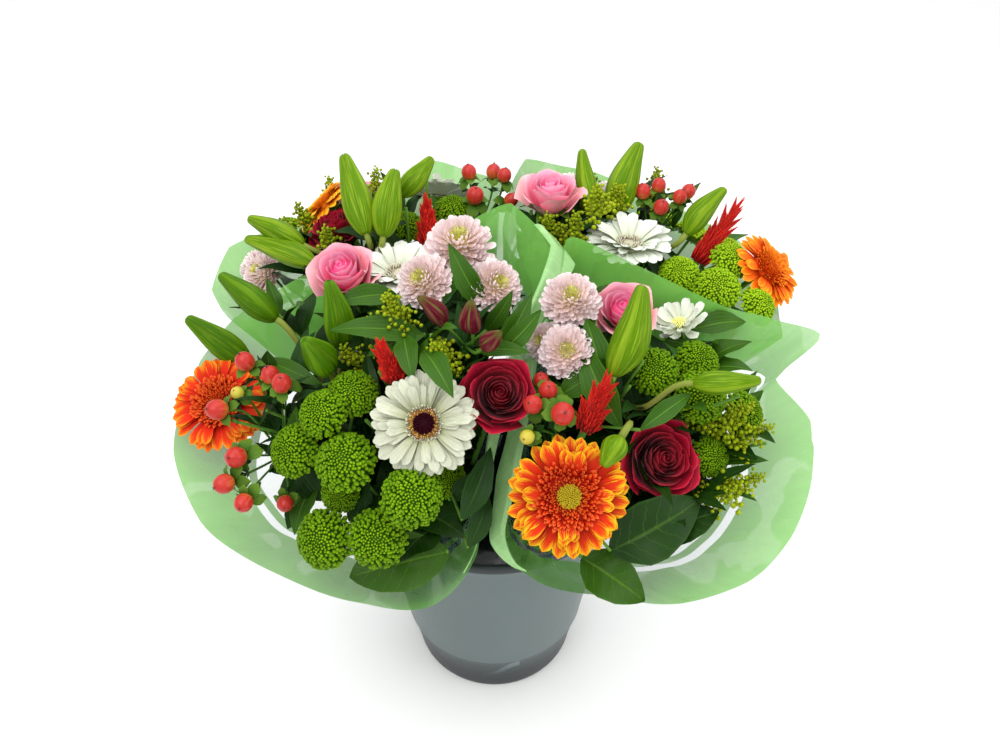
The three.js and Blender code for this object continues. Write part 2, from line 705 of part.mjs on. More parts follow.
// Spots inside a circle, pushed apart until none is nearer than the least gap
function spacedApart(spots, least, within) {
  for (let round = 0; round < 80; round++) {
    for (const a of spots)
      for (const b of spots) {
        const gap = a.distanceTo(b);
        if (a === b || gap >= least) continue;
        const push = b.clone().sub(a).setLength((least - gap) / 2);
        a.sub(push);
        b.add(push);
      }
    for (const a of spots) a.clampLength(0, within);
  }
  return spots;
}

// Each stem's way up from the bound bundle, out of the mouth and under its flower
function stemPaths(bouquet, flowers) {
  const middle = new THREE.Vector2(...bouquet.spread);
  const aims = flowers.map(({ foot: [x, y] }) => new THREE.Vector2(x, y).sub(middle).multiplyScalar(0.1));
  const spots = spacedApart(aims, 2.4 * stem.radius, bundle.radius - 1.4 * stem.radius);
  return flowers.map(({ foot, face }, n) => {
    const [x, y] = tieOf(bouquet);
    const { x: dx, y: dy } = spots[n];
    const under = vec(foot).addScaledVector(vec(face).normalize(), -stem.straight).toArray();
    return [
      [x + dx, y + dy, bundle.high - 6],
      [bouquet.mouth[0] + stem.fan * dx, bouquet.mouth[1] + stem.fan * dy, mouth.height],
      under,
      foot,
    ];
  });
}

// A leaf on its stalk from the nearest stem: folded along its rib, widest at its middle
function leafSections({ from, to, width, droop = 0.12, up = [0, 0, 1] }, root, grow) {
  const along = vec(to).sub(vec(from));
  const side = along.clone().cross(vec(up)).normalize();
  const lift = side.clone().cross(along).normalize();
  const section = (p, half, keel) => [
    p.clone().addScaledVector(side, half + grow),
    p.clone().addScaledVector(side, -half - grow).addScaledVector(lift, grow),
    p.clone().addScaledVector(lift, -keel - 2 * grow),
  ];
  const belly = vec(from).addScaledVector(along, 0.5).addScaledVector(lift, droop * along.length());
  return [
    section(root, 1, 1.6),
    section(vec(from), width * 0.14, 1.6),
    section(belly, width / 2, 1.8),
    [vec(to).addScaledVector(along, grow / along.length())],
  ];
}

// A goldenrod tip: side shoots of tiny florets that stand out all round a slim spire
function goldenrodTip([from, to], grow) {
  const along = vec(to).sub(vec(from));
  const profile = [[0, -0.05], [9, 0.3], [7.5, 0.5], [6, 0.7], [4, 0.86], [0, 1]].map(([r, t]) => [
    r === 0 ? 0 : r + grow,
    t * along.length(),
  ]);
  return turned(profile, 6, (i, k) => alternate(i, k, 0.3)).applyMatrix4(frameAt(from, along.toArray()));
}

// Points a little apart along a stem's upper two thirds, where leaves may spring from
function leafJoints(path) {
  const curve = new THREE.CatmullRomCurve3(path.map(vec), false, "centripetal");
  const knots = curve.getSpacedPoints(stem.steps).slice(1);
  const shares = [0, 0.2, 0.4, 0.6, 0.8];
  return knots.slice(1).flatMap((knot, k) => shares.map((t) => knots[k].clone().lerp(knot, t)));
}

// Stems, leaves and goldenrod of one bouquet, bound into one body at the tie
function greenery(bouquet, flowers) {
  const tips = bouquet.goldenrod.map(([from, to]) => ({
    foot: from,
    face: vec(to).sub(vec(from)).toArray(),
    sides: 3,
  }));
  const stalks = [...flowers, ...tips];
  const paths = stemPaths(bouquet, stalks);
  const joints = paths.flatMap(leafJoints);
  const shapes = (grow) => {
    const parts = paths.map((path, n) => tube(path, stem.radius + grow, stem.steps, stalks[n].sides));
    for (const leaf of bouquet.leaves) {
      const base = vec(leaf.from);
      const root = joints.reduce((best, p) => (p.distanceTo(base) < best.distanceTo(base) ? p : best));
      parts.push(loftGeometry(leafSections(leaf, root, grow)));
    }
    parts.push(...bouquet.goldenrod.map((tip) => goldenrodTip(tip, grow)));
    return parts.map(solidOf);
  };
  const core = loftGeometry([
    ringAt(tieOf(bouquet), bundle.radius, bundle.low, 10),
    ringAt(tieOf(bouquet), bundle.radius, bundle.high - 2, 10),
  ]);
  return { solid: fuse([solidOf(core), ...shapes(0), ...cutStems(bouquet)]), clear: shapes(seat + 0.1) };
}

// Below the tie the stems spread a little and stand on the bucket's floor
function cutStems(bouquet) {
  const [x, y] = tieOf(bouquet);
  const outer = stem.cutCount - 1;
  return Array.from({ length: stem.cutCount }, (_, i) => {
    const a = turn(outer, i);
    const grip = i === outer ? 0 : bundle.radius * 0.65;
    const top = [x + grip * Math.cos(a), y + grip * Math.sin(a), bundle.low + 6];
    const reach = i === outer ? 0 : bundle.footSpread;
    const low = [bouquet.foot[0] + reach * Math.cos(a), bouquet.foot[1] + reach * Math.sin(a)];
    return solidOf(tube([[...low, bucket.floor + 4 * seat], top], stem.cutRadius, 1, 4));
  });
}

// Bucket with a nesting step low down and a rolled lip
function bucketGeometry() {
  const { height, baseRadius, topRadius, wall, floor, lip, step } = bucket;
  const slope = (z) => mix(baseRadius, topRadius, z / height);
  const profile = [
    [0, 0],
    [baseRadius - 4, 0],
    [slope(step) - 0.8, step],
    [slope(step + 4) + 0.8, step + 4],
    [slope(height - 10), height - 10],
    [topRadius + lip, height - 9],
    [topRadius + lip, height - 2],
    [topRadius - wall, height],
    [baseRadius - wall, floor],
    [0, floor],
  ];
  return turned(profile, 28);
}

// Water with one plain hole for each bundle of stems
function waterSolid() {
  const { height, baseRadius, topRadius, wall, floor } = bucket;
  const inside = (z) => mix(baseRadius, topRadius, (z - floor) / (height - floor)) - wall - 3 * seat;
  const low = floor + seat;
  const body = turned([[0, low], [inside(low), low], [inside(waterLevel), waterLevel], [0, waterLevel]], 28);
  const drill = [[0, -1], [stemHole, -1], [stemHole, waterLevel + 1], [0, waterLevel + 1]];
  const holes = Object.values(bouquets).map(({ foot }) => solidOf(turned(drill, 8).translate(...foot, 0)));
  return solidOf(body).subtract(fuse(holes));
}

const finishes = {
  bucket: { color: 0x6f7b7a, roughness: 0.45 },
  water: { color: 0xbfd3d0, roughness: 0.05 },
  wrap: { color: 0x9fd48a, roughness: 0.2 },
  tie: { color: 0xd8d2b8, roughness: 0.6 },
  greens: { color: 0x2f6a25, roughness: 0.5 },
  orange_gerbera: { color: 0xf0641a, roughness: 0.6 },
  white_gerbera: { color: 0xf1f1e6, roughness: 0.6 },
  red_rose: { color: 0x8c0f22, roughness: 0.55 },
  pink_rose: { color: 0xf08fb0, roughness: 0.55 },
  lilac_daisies: { color: 0xdcb9c6, roughness: 0.6 },
  white_daisy: { color: 0xf1f1e6, roughness: 0.6 },
  buttons: { color: 0x6fa51c, roughness: 0.65 },
  coral_berries: { color: 0xe0564a, roughness: 0.3 },
  alstroemeria_buds: { color: 0x9a3a48, roughness: 0.45 },
  lily_buds: { color: 0x86a83a, roughness: 0.45 },
  red_plume: { color: 0xd32a1c, roughness: 0.65 },
};

const group = new THREE.Group();

function addPiece(name, geometry) {
  const finish = finishes[Object.keys(finishes).find((key) => name.endsWith(key))];
  geometry.computeVertexNormals();
  const piece = new THREE.Mesh(geometry, new THREE.MeshStandardMaterial({ metalness: 0, ...finish }));
  piece.name = name;
  group.add(piece);
}

function addSolid(name, solid) {
  const mesh = solid.getMesh();
  const geometry = new THREE.BufferGeometry();
  geometry.setAttribute("position", new THREE.BufferAttribute(mesh.vertProperties, 3));
  geometry.setIndex(new THREE.BufferAttribute(mesh.triVerts, 1));
  addPiece(name, geometry);
}

addPiece("bucket", bucketGeometry());
addSolid("water", waterSolid());

// Heads keep clear of the film and of the heads made before them, greenery of all of these
const taken = [];
for (const [name, bouquet] of Object.entries(bouquets)) {
  addSolid(`${name}_wrap`, wrap(bouquet));
  addSolid(`${name}_tie`, tieBand(bouquet));
  taken.push(wrap(bouquet, film + 2 * seat + 0.2));
}

const stemmed = {};
for (const [name, bouquet] of Object.entries(bouquets)) {
  stemmed[name] = Object.entries(bouquet.flowers).map(([flower, spec]) => {
    const made = makers[spec.kind](spec);
    addSolid(`${name}_${flower}`, cutClear(made.solid, taken));
    taken.push(...made.clear);
    return made;
  });
}

for (const [name, bouquet] of Object.entries(bouquets)) {
  const made = greenery(bouquet, stemmed[name]);
  addSolid(`${name}_greens`, cutClear(made.solid, taken));
  taken.push(...made.clear);
}

export default group;
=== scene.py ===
# A florist's bucket of four film-wrapped bouquets of mixed cut flowers.
# Metres, +Z up, -Y the front, the origin at the middle of the bucket's underside.
import math

import bpy
import numpy as np
from mathutils import Matrix, Vector


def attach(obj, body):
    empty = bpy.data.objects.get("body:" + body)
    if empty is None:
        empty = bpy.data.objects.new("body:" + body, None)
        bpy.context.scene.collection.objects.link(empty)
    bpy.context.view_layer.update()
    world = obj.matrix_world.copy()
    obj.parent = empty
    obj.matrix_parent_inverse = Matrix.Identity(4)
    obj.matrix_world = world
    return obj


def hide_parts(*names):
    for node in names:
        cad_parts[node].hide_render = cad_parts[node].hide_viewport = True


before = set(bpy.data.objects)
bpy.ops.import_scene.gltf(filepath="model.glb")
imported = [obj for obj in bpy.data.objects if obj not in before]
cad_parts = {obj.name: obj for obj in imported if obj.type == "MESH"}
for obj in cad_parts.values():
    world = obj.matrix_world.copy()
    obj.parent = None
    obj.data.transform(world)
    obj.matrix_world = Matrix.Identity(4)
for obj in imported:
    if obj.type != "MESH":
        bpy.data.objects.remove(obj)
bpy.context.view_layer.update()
scene = bpy.context.scene
goldenTurn = math.radians(137.508)  # from one petal to the next in a natural spiral
anySpin = (0, 6.28)  # the range of a random turn
cycle = 6.283  # a full turn
markNames = ("along", "across", "layer", "tint")  # numbers kept at each vertex for the materials
paints = {}


# Shapes

class Shape:  # vertices and faces as arrays, with marks at each vertex and a paint on each face
    def __init__(self, verts, corners, sizes, marks=None, paint=0):
        self.verts = np.asarray(verts, float).reshape(-1, 3)
        self.corners = np.asarray(corners, int).ravel()
        self.sizes = np.asarray(sizes, int).ravel()
        given = marks or {}
        count = len(self.verts)
        self.marks = {n: np.array(np.broadcast_to(given.get(n, 0.0), count), float) for n in markNames}
        self.paint = np.array(np.broadcast_to(paint, len(self.sizes)), int)

    def moved(self, matrix):
        m = np.array(matrix)
        return Shape(self.verts @ m[:3, :3].T + m[:3, 3], self.corners, self.sizes, self.marks, self.paint)

    def scaled(self, size):
        return Shape(self.verts * size, self.corners, self.sizes, self.marks, self.paint)

    def marked(self, **marks):
        return Shape(self.verts, self.corners, self.sizes, {**self.marks, **marks}, self.paint)

    def painted(self, name):
        return Shape(self.verts, self.corners, self.sizes, self.marks, list(paints).index(name))

    def lifted(self, by):
        return self.moved(Matrix.Translation((0, 0, by)))

    def shifted(self, chance):  # the same shape with its tints drawn anew
        return self.marked(tint=(self.marks["tint"] + chance) % 1)


def joined(shapes):
    starts = np.cumsum([0] + [len(s.verts) for s in shapes[:-1]])
    return Shape(
        np.concatenate([s.verts for s in shapes]),
        np.concatenate([s.corners + start for s, start in zip(shapes, starts)]),
        np.concatenate([s.sizes for s in shapes]),
        {name: np.concatenate([s.marks[name] for s in shapes]) for name in markNames},
        np.concatenate([s.paint for s in shapes]),
    )


def shapeOfMesh(mesh):
    def read(items, key, count, kind):
        values = np.empty(count, kind)
        items.foreach_get(key, values)
        return values

    count = len(mesh.vertices)
    marks = {
        name: read(mesh.attributes[name].data, "value", count, np.float32)
        for name in markNames
        if name in mesh.attributes
    }
    order = list(paints)
    slots = np.array([order.index(m.name) for m in mesh.materials] or [0])
    return Shape(
        read(mesh.vertices, "co", count * 3, np.float32),
        read(mesh.loops, "vertex_index", len(mesh.loops), np.int32),
        read(mesh.polygons, "loop_total", len(mesh.polygons), np.int32),
        marks,
        slots[read(mesh.polygons, "material_index", len(mesh.polygons), np.int32)],
    )


def meshOfShape(shape, name):
    mesh = bpy.data.meshes.new(name)
    mesh.vertices.add(len(shape.verts))
    mesh.vertices.foreach_set("co", shape.verts.astype(np.float32).ravel())
    mesh.loops.add(len(shape.corners))
    mesh.loops.foreach_set("vertex_index", shape.corners.astype(np.int32))
    mesh.polygons.add(len(shape.sizes))
    mesh.polygons.foreach_set("loop_start", np.cumsum(np.append(0, shape.sizes[:-1])).astype(np.int32))
    used = np.unique(shape.paint)
    order = list(paints)
    for number in used:
        mesh.materials.append(paints[order[number]])
    mesh.polygons.foreach_set("material_index", np.searchsorted(used, shape.paint).astype(np.int32))
    mesh.polygons.foreach_set("use_smooth", np.ones(len(shape.sizes), bool))
    for mark, values in shape.marks.items():
        layer = mesh.attributes.new(mark, "FLOAT", "POINT")
        layer.data.foreach_set("value", values.astype(np.float32))
    mesh.update()
    mesh.validate()
    return mesh


def addPiece(name, shape, slotName, *nodes):
    piece = bpy.data.objects.new(name, meshOfShape(shape, name))
    scene.collection.objects.link(piece)
    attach(piece, "root")
    if nodes:
        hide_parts(*nodes)
    return piece


def pieceName(*words):  # front_left and red_rose give frontLeftRedRose
    first, *rest = "_".join(words).split("_")
    return first + "".join(word.capitalize() for word in rest)


def gridShape(points, loop=False, marks=None):
    rows, cols = points.shape[:2]
    ids = np.arange(rows * cols).reshape(rows, cols)
    left = ids if loop else ids[:, :-1]
    right = np.roll(ids, -1, axis=1) if loop else ids[:, 1:]
    quads = np.stack([left[:-1], right[:-1], right[1:], left[1:]], axis=-1).reshape(-1, 4)
    flat = {name: np.broadcast_to(values, (rows, cols)).ravel() for name, values in (marks or {}).items()}
    return Shape(points, quads, np.full(len(quads), 4), flat)


def capped(wall, sides):  # a tube's wall with a flat face at either end
    last = len(wall.verts) - sides
    ends = list(range(sides))[::-1] + [last + i for i in range(sides)]
    sizes = np.append(wall.sizes, [sides, sides])
    return Shape(wall.verts, np.append(wall.corners, ends), sizes, wall.marks)


def evenAngles(count):
    return np.arange(count) * 2 * math.pi / count


# A body of revolution about Z from bottom to top; a radius of 0 closes an end in one point
def lathe(profile, sides, swell=None):
    angle = evenAngles(sides)
    verts, rows, along, across = [], [], [], []
    for k, (radius, z) in enumerate(profile):
        t = k / (len(profile) - 1)
        count = sides if radius else 1
        wide = radius * (swell(angle, t) if swell and radius else np.ones(count))
        rows.append(np.arange(count) + len(verts))
        verts.extend(zip(wide * np.cos(angle[:count]), wide * np.sin(angle[:count]), np.full(count, z)))
        along.extend([t] * count)
        across.extend(angle[:count] / (2 * math.pi))
    corners, sizes = [], []
    for low, high in zip(rows, rows[1:]):
        for i in range(sides):
            j = (i + 1) % sides
            if len(low) == 1 and len(high) == 1:
                continue
            if len(low) == 1:
                face = (low[0], high[j], high[i])
            elif len(high) == 1:
                face = (low[i], low[j], high[0])
            else:
                face = (low[i], low[j], high[j], high[i])
            corners.extend(face)
            sizes.append(len(face))
    return Shape(verts, corners, sizes, {"along": along, "across": across})


def unit(v):
    v = np.asarray(v, float)
    return v / np.linalg.norm(v, axis=-1, keepdims=True)


def tube(path, radii, sides=7):
    path = np.asarray(path, float)
    radii = np.broadcast_to(radii, len(path))
    forward = unit(np.gradient(path, axis=0))
    side = unit(np.cross(forward[0], (0.31, 0.92, 0.17)))
    sideways = []
    for direction in forward:
        side = unit(side - direction * side.dot(direction))
        sideways.append(side)
    sideways = np.array(sideways)
    upward = np.cross(forward, sideways)
    angle = evenAngles(sides)[:, None]
    spokes = np.cos(angle) * sideways[:, None] + np.sin(angle) * upward[:, None]
    rings = path[:, None] + radii[:, None, None] * spokes
    t = np.linspace(0, 1, len(path))[:, None]
    marks = {"along": t, "across": (angle / (2 * math.pi)).T}
    return capped(gridShape(rings, loop=True, marks=marks), sides)


# Points on a centripetal curve through the knots, the same number in each span
def curvePoints(knots, steps, closed=False):
    p = np.asarray(knots, float)
    if closed:
        p = np.concatenate([p[-1:], p, p[:2]])
    else:
        p = np.concatenate([[2 * p[0] - p[1]], p, [2 * p[-1] - p[-2]]])
    gaps = np.maximum(np.linalg.norm(np.diff(p, axis=0), axis=1) ** 0.5, 1e-5)
    t = (np.arange(steps) / steps)[:, None]
    spans = []
    for k in range(1, len(p) - 2):
        a, b, c = gaps[k - 1 : k + 2]
        start = ((p[k] - p[k - 1]) / a - (p[k + 1] - p[k - 1]) / (a + b)) * b + p[k + 1] - p[k]
        end = p[k + 1] - p[k] + ((p[k + 2] - p[k + 1]) / c - (p[k + 2] - p[k]) / (b + c)) * b
        spans.append(
            (2 * t**3 - 3 * t**2 + 1) * p[k]
            + (t**3 - 2 * t**2 + t) * start
            + (3 * t**2 - 2 * t**3) * p[k + 1]
            + (t**3 - t**2) * end
        )
    if not closed:
        spans.append(p[-2:-1])
    return np.concatenate(spans)


def evenPath(knots, count):  # an even walk along that curve
    fine = curvePoints(knots, 24)
    length = np.append(0, np.cumsum(np.linalg.norm(np.diff(fine, axis=0), axis=1)))
    wanted = np.linspace(0, length[-1], count)
    return np.stack([np.interp(wanted, length, fine[:, i]) for i in range(3)], axis=1)


# A head's own frame, whose Z axis is the way it faces, set in the part's frame
def frameAt(at, face, spin=0.0):
    w = Vector(face).normalized()
    u = Vector((0, 0, 1)).cross(w)
    if u.length < 0.05:
        u = Vector((1, 0, 0))
    u.normalize()
    turned = Matrix((u, w.cross(u), w)).transposed().to_4x4()
    return Matrix.Translation(Vector(at)) @ turned @ Matrix.Rotation(spin, 4, "Z")


def blendTo(a, b, t):
    return np.asarray(a, float) + (np.asarray(b, float) - np.asarray(a, float)) * t


# Node trees

def operator(operation, swapped=False):
    def apply(self, other):
        values = {0: other, 1: self} if swapped else {0: self, 1: other}
        return self.net.node("ShaderNodeMath", {"operation": operation}, values)

    return apply


class Value:  # a socket that takes part in Python arithmetic
    def __init__(self, net, socket):
        self.net = net
        self.socket = socket

    def math(self, operation, *others):
        return self.net.node("ShaderNodeMath", {"operation": operation}, dict(enumerate((self, *others))))

    def clipped(self):  # kept between 0 and 1
        return self.math("MAXIMUM", 0.0).math("MINIMUM", 1.0)

    def __neg__(self):
        return self * -1.0

    __add__ = __radd__ = operator("ADD")
    __mul__ = __rmul__ = operator("MULTIPLY")
    __sub__ = operator("SUBTRACT")
    __rsub__ = operator("SUBTRACT", swapped=True)
    __truediv__ = operator("DIVIDE")
    __pow__ = operator("POWER")
    __lt__ = operator("LESS_THAN")
    __gt__ = operator("GREATER_THAN")


class Net:  # a node tree that is filled one node at a time
    def __init__(self, tree):
        self.tree = tree

    def make(self, kind, settings=None, inputs=None):
        node = self.tree.nodes.new(kind)
        for name, value in (settings or {}).items():
            if name == "stops":
                self.setStops(node.color_ramp, value)
            else:
                setattr(node, name, value)
        for key, value in (inputs or {}).items():
            if isinstance(value, Value):
                self.tree.links.new(value.socket, node.inputs[key])
            else:
                node.inputs[key].default_value = value
        return node

    def node(self, kind, settings=None, inputs=None, output=0):
        return Value(self, self.make(kind, settings, inputs).outputs[output])

    def setStops(self, ramp, stops):
        while len(ramp.elements) < len(stops):
            ramp.elements.new(0.5)
        for element, (position, colour) in zip(ramp.elements, stops):
            element.position = position
            element.color = (*colour, 1)

    def mark(self, name):
        return self.node("ShaderNodeAttribute", {"attribute_name": name}, output="Fac")

    def place(self):
        return self.node("ShaderNodeTexCoord", output="Object")

    def vector(self, x, y, z):
        return self.node("ShaderNodeCombineXYZ", None, {0: x, 1: y, 2: z})

    def noise(self, where, scale, detail=2.0):
        return self.node("ShaderNodeTexNoise", None, {"Vector": where, "Scale": scale, "Detail": detail})

    def mix(self, share, *pair):
        a, b = (colour if isinstance(colour, Value) else (*colour, 1) for colour in pair)
        return self.node("ShaderNodeMix", {"data_type": "RGBA"}, {0: share, 6: a, 7: b}, output=2)

    def brighter(self, colour, by):
        return self.node("ShaderNodeVectorMath", {"operation": "SCALE"}, {0: colour, "Scale": by})

    def ramp(self, share, stops):
        return self.node("ShaderNodeValToRGB", {"stops": stops}, {0: share})

    def bump(self, height, strength, distance=0.001):
        values = {"Height": height, "Strength": strength, "Distance": distance}
        return self.node("ShaderNodeBump", None, values)


def paintNet(name):
    paints[name] = bpy.data.materials.new(name)
    paints[name].use_nodes = True
    paints[name].node_tree.nodes.clear()
    return Net(paints[name].node_tree)


def finishPaint(net, **values):
    named = {key.replace("_", " "): value for key, value in values.items()}
    shader = net.node("ShaderNodeBsdfPrincipled", None, named)
    net.make("ShaderNodeOutputMaterial", None, {"Surface": shader})


# Paints

marginForm = {"side": 0.55, "tip": 1.7, "start": 1.52, "ragged": 1.6, "sharp": 1.9}


# Petals: a ramp of colours along the petal, streaked and tinted petal by petal. A margin
# colour lies round the petal's outer edge, and an outer colour takes over towards the rim.
def petalPaint(
    name, stops, streak=0.2, shade=0.25, grooves=0.4, lines=7.0, rough=0.5, sheen=0.0, margin=None,
    outer=None, veins=0.0,
):
    net = paintNet(name)
    length = net.mark("along")
    across = net.mark("across")
    tint = net.mark("tint")
    fibre = net.noise(net.vector(across * lines, length * 1.5, tint * 31.0), 2.2)
    colour = net.ramp(length + (fibre - 0.5) * streak, stops)
    if outer:
        colour = net.mix(net.mark("layer") ** 1.6 * 0.85, colour, outer)
    if margin:
        form = marginForm
        rise = across.math("ABSOLUTE") * form["side"] + length * form["tip"] - form["start"]
        edge = (rise + (fibre - 0.5) * form["ragged"]) * form["sharp"]
        colour = net.mix(edge.clipped(), colour, margin)
    # veins lightens and darkens fine lines along a petal: painted shade in its grooves and painted light on
    # its ridges
    lit = net.brighter(colour, 1 + shade * 0.5 - tint * shade + (fibre - 0.5) * veins)
    finishPaint(
        net,
        Base_Color=lit,
        Roughness=rough + (fibre - 0.5) * 0.3,
        Normal=net.bump(fibre, grooves, 0.0008),
        Sheen_Weight=sheen,
        Specular_IOR_Level=0.08,
    )


petalBook = {
    "orangeRay": {
        "stops": [(0.0, (0.36, 0.008, 0.002)), (0.5, (0.54, 0.018, 0.003)), (1.0, (0.62, 0.045, 0.004))],
        "streak": 0.3, "margin": (0.82, 0.49, 0.01),
    },
    "orangeRayPlain": {
        "stops": [(0.0, (0.46, 0.007, 0.003)), (0.5, (0.6, 0.018, 0.004)), (1.0, (0.7, 0.05, 0.005))],
        "streak": 0.35, "margin": (0.84, 0.3, 0.01),
    },
    # The back-left gerbera's amber petals, made brighter as painted light on their shaded undersides
    "litAmberRay": {
        "stops": [(0.0, (0.62, 0.12, 0.006)), (0.5, (0.85, 0.27, 0.008)), (1.0, (0.95, 0.4, 0.012))],
        "streak": 0.3, "margin": (0.98, 0.6, 0.03),
    },
    "orangeFrill": {
        "stops": [(0.0, (0.34, 0.006, 0.002)), (0.6, (0.6, 0.025, 0.004)), (1.0, (0.84, 0.17, 0.03))],
        "lines": 2.0,
    },
    "orangeFringe": {
        "stops": [(0.0, (0.56, 0.025, 0.003)), (0.6, (0.7, 0.07, 0.006)), (1.0, (0.86, 0.28, 0.03))],
        "lines": 2.0,
    },
    "limeDisc": {
        "stops": [(0.0, (0.16, 0.1, 0.004)), (0.6, (0.3, 0.22, 0.008)), (1.0, (0.42, 0.32, 0.015))],
        "lines": 2.0,
    },
    "whiteRay": {
        "stops": [
            (0.0, (0.3, 0.34, 0.14)), (0.14, (0.41, 0.44, 0.25)), (0.5, (0.52, 0.54, 0.39)),
            (1.0, (0.6, 0.62, 0.49)),
        ],
        "streak": 0.3, "shade": 0.14, "grooves": 0.7, "veins": 0.8,
    },
    # A brighter copy of the white rays, painted light, for the cup gerberas whose petals stand in shade; the
    # white daisy takes it too
    "milkRay": {
        "stops": [(0.0, (0.5, 0.58, 0.28)), (0.2, (0.72, 0.77, 0.6)), (1.0, (0.86, 0.89, 0.82))],
        "shade": 0.1, "grooves": 0.6, "veins": 0.3,
    },
    "mellowRay": {
        "stops": [(0.0, (0.6, 0.04, 0.004)), (0.5, (0.78, 0.1, 0.005)), (1.0, (0.86, 0.18, 0.006))],
        "streak": 0.3, "margin": (0.92, 0.38, 0.012),
    },
    "goldFrill": {
        "stops": [
            (0.0, (0.1, 0.01, 0.012)), (0.35, (0.3, 0.12, 0.04)), (0.7, (0.6, 0.36, 0.05)),
            (1.0, (0.72, 0.6, 0.3)),
        ],
        "lines": 2.0, "streak": 0.5,
    },
    "creamFrill": {
        "stops": [(0.0, (0.2, 0.12, 0.08)), (0.5, (0.56, 0.52, 0.38)), (1.0, (0.78, 0.78, 0.64))],
        "lines": 2.0, "streak": 0.4,
    },
    "darkEye": {
        "stops": [(0.0, (0.014, 0.001, 0.004)), (0.7, (0.045, 0.003, 0.01)), (1.0, (0.09, 0.012, 0.022))],
        "lines": 2.0,
    },
    "redRose": {
        "stops": [
            (0.0, (0.05, 0.0005, 0.003)), (0.55, (0.14, 0.001, 0.01)), (0.84, (0.25, 0.002, 0.016)),
            (0.95, (0.4, 0.005, 0.026)), (1.0, (0.5, 0.03, 0.055)),
        ],
        "streak": 0.08, "shade": 0.3, "lines": 4.0, "grooves": 0.25, "sheen": 0.05,
    },
    "pinkRose": {
        "stops": [
            (0.0, (0.8, 0.05, 0.2)), (0.5, (0.93, 0.14, 0.36)), (0.85, (0.95, 0.3, 0.53)),
            (1.0, (0.96, 0.52, 0.7)),
        ],
        "streak": 0.12, "lines": 4.0, "grooves": 0.2, "outer": (0.89, 0.5, 0.48),
    },
    "lilacPetal": {
        "stops": [
            (0.0, (0.72, 0.56, 0.3)), (0.35, (0.9, 0.7, 0.6)), (0.8, (0.95, 0.79, 0.8)),
            (1.0, (0.98, 0.92, 0.91)),
        ],
        "shade": 0.16,
    },
    "lilacHeart": {
        "stops": [(0.0, (0.6, 0.62, 0.07)), (0.6, (0.86, 0.84, 0.18)), (1.0, (0.96, 0.92, 0.5))],
        "lines": 2.0,
    },
    # Darker towards each floret's foot: painted shade deep among the florets
    "buttonFloret": {
        "stops": [
            (0.0, (0.01, 0.035, 0.001)), (0.45, (0.045, 0.12, 0.001)), (0.75, (0.11, 0.23, 0.002)),
            (1.0, (0.26, 0.44, 0.006)),
        ],
        "shade": 0.4, "lines": 2.0, "rough": 0.6,
    },
    # A brighter copy of the button florets for the back-right bunches: painted light
    "limeFloret": {
        "stops": [(0.0, (0.02, 0.07, 0.001)), (0.45, (0.1, 0.23, 0.001)), (1.0, (0.4, 0.6, 0.015))],
        "shade": 0.4, "lines": 2.0, "rough": 0.6,
    },
    "plumeSpike": {
        "stops": [(0.0, (0.3, 0.004, 0.004)), (0.5, (0.62, 0.01, 0.008)), (1.0, (0.84, 0.045, 0.02))],
        "shade": 0.35, "lines": 2.0, "rough": 0.7, "sheen": 0.05,
    },
    "goldenBead": {
        "stops": [(0.0, (0.12, 0.2, 0.004)), (0.6, (0.26, 0.34, 0.006)), (1.0, (0.44, 0.47, 0.02))],
        "shade": 0.4, "lines": 2.0, "rough": 0.6,
    },
    "sepal": {
        "stops": [(0.0, (0.035, 0.09, 0.006)), (0.5, (0.055, 0.13, 0.012)), (1.0, (0.11, 0.2, 0.018))],
        "lines": 3.0,
    },
    "stemGreen": {
        "stops": [(0.0, (0.03, 0.1, 0.01)), (0.5, (0.07, 0.19, 0.02)), (1.0, (0.12, 0.26, 0.035))],
        "streak": 0.5, "lines": 3.0,
    },
    "stalkBrown": {
        "stops": [(0.0, (0.1, 0.13, 0.02)), (0.5, (0.17, 0.17, 0.035)), (1.0, (0.2, 0.26, 0.04))],
        "streak": 0.5, "lines": 3.0,
    },
}
for paintName, recipe in petalBook.items():
    petalPaint(paintName, **recipe)


# Leaves: a pale midrib, slanting side veins or fine long ones, a lighter edge and a waxy gloss
def leafPaint(name, deep, bright, rib, slanted, parallel, rough):
    net = paintNet(name)
    along = net.mark("along")
    across = net.mark("across")
    tint = net.mark("tint")
    off = across.math("ABSOLUTE")
    ribMask = 1 - (off * 12.0).math("MINIMUM", 1.0)
    cloud = net.noise(net.place(), 60.0, 3.0)
    bend = net.noise(net.vector(along * 3.0, across * 2.0, tint * 9.0), 3.0)
    slant = ((along - off * 0.2 + (bend - 0.5) * 0.08) * slanted * cycle).math("SINE")
    side = ((slant - 0.9) * 10.0).math("MAXIMUM", 0.0) * (1 - off * 0.6)
    long = ((across * parallel * cycle).math("SINE") - 0.55).math("MAXIMUM", 0.0) * 0.9
    veins = side * (1.0 if slanted else 0.0) + long * (1.0 if parallel else 0.0)
    edge = ((off - 0.9) * 8.0).math("MAXIMUM", 0.0)
    ground = net.mix(cloud * 0.6 + tint * 0.4, deep, bright)
    pale = (ribMask * 0.7 + veins * 0.35 + edge * 0.3).math("MINIMUM", 1.0)
    finishPaint(
        net,
        Base_Color=net.brighter(net.mix(pale, ground, rib), 1.2 - tint * 0.4),
        Roughness=rough + (cloud - 0.5) * 0.25,
        Normal=net.bump(cloud * 0.3 - ribMask - veins * 0.7, 0.5, 0.0008),
        Specular_IOR_Level=0.16,
    )


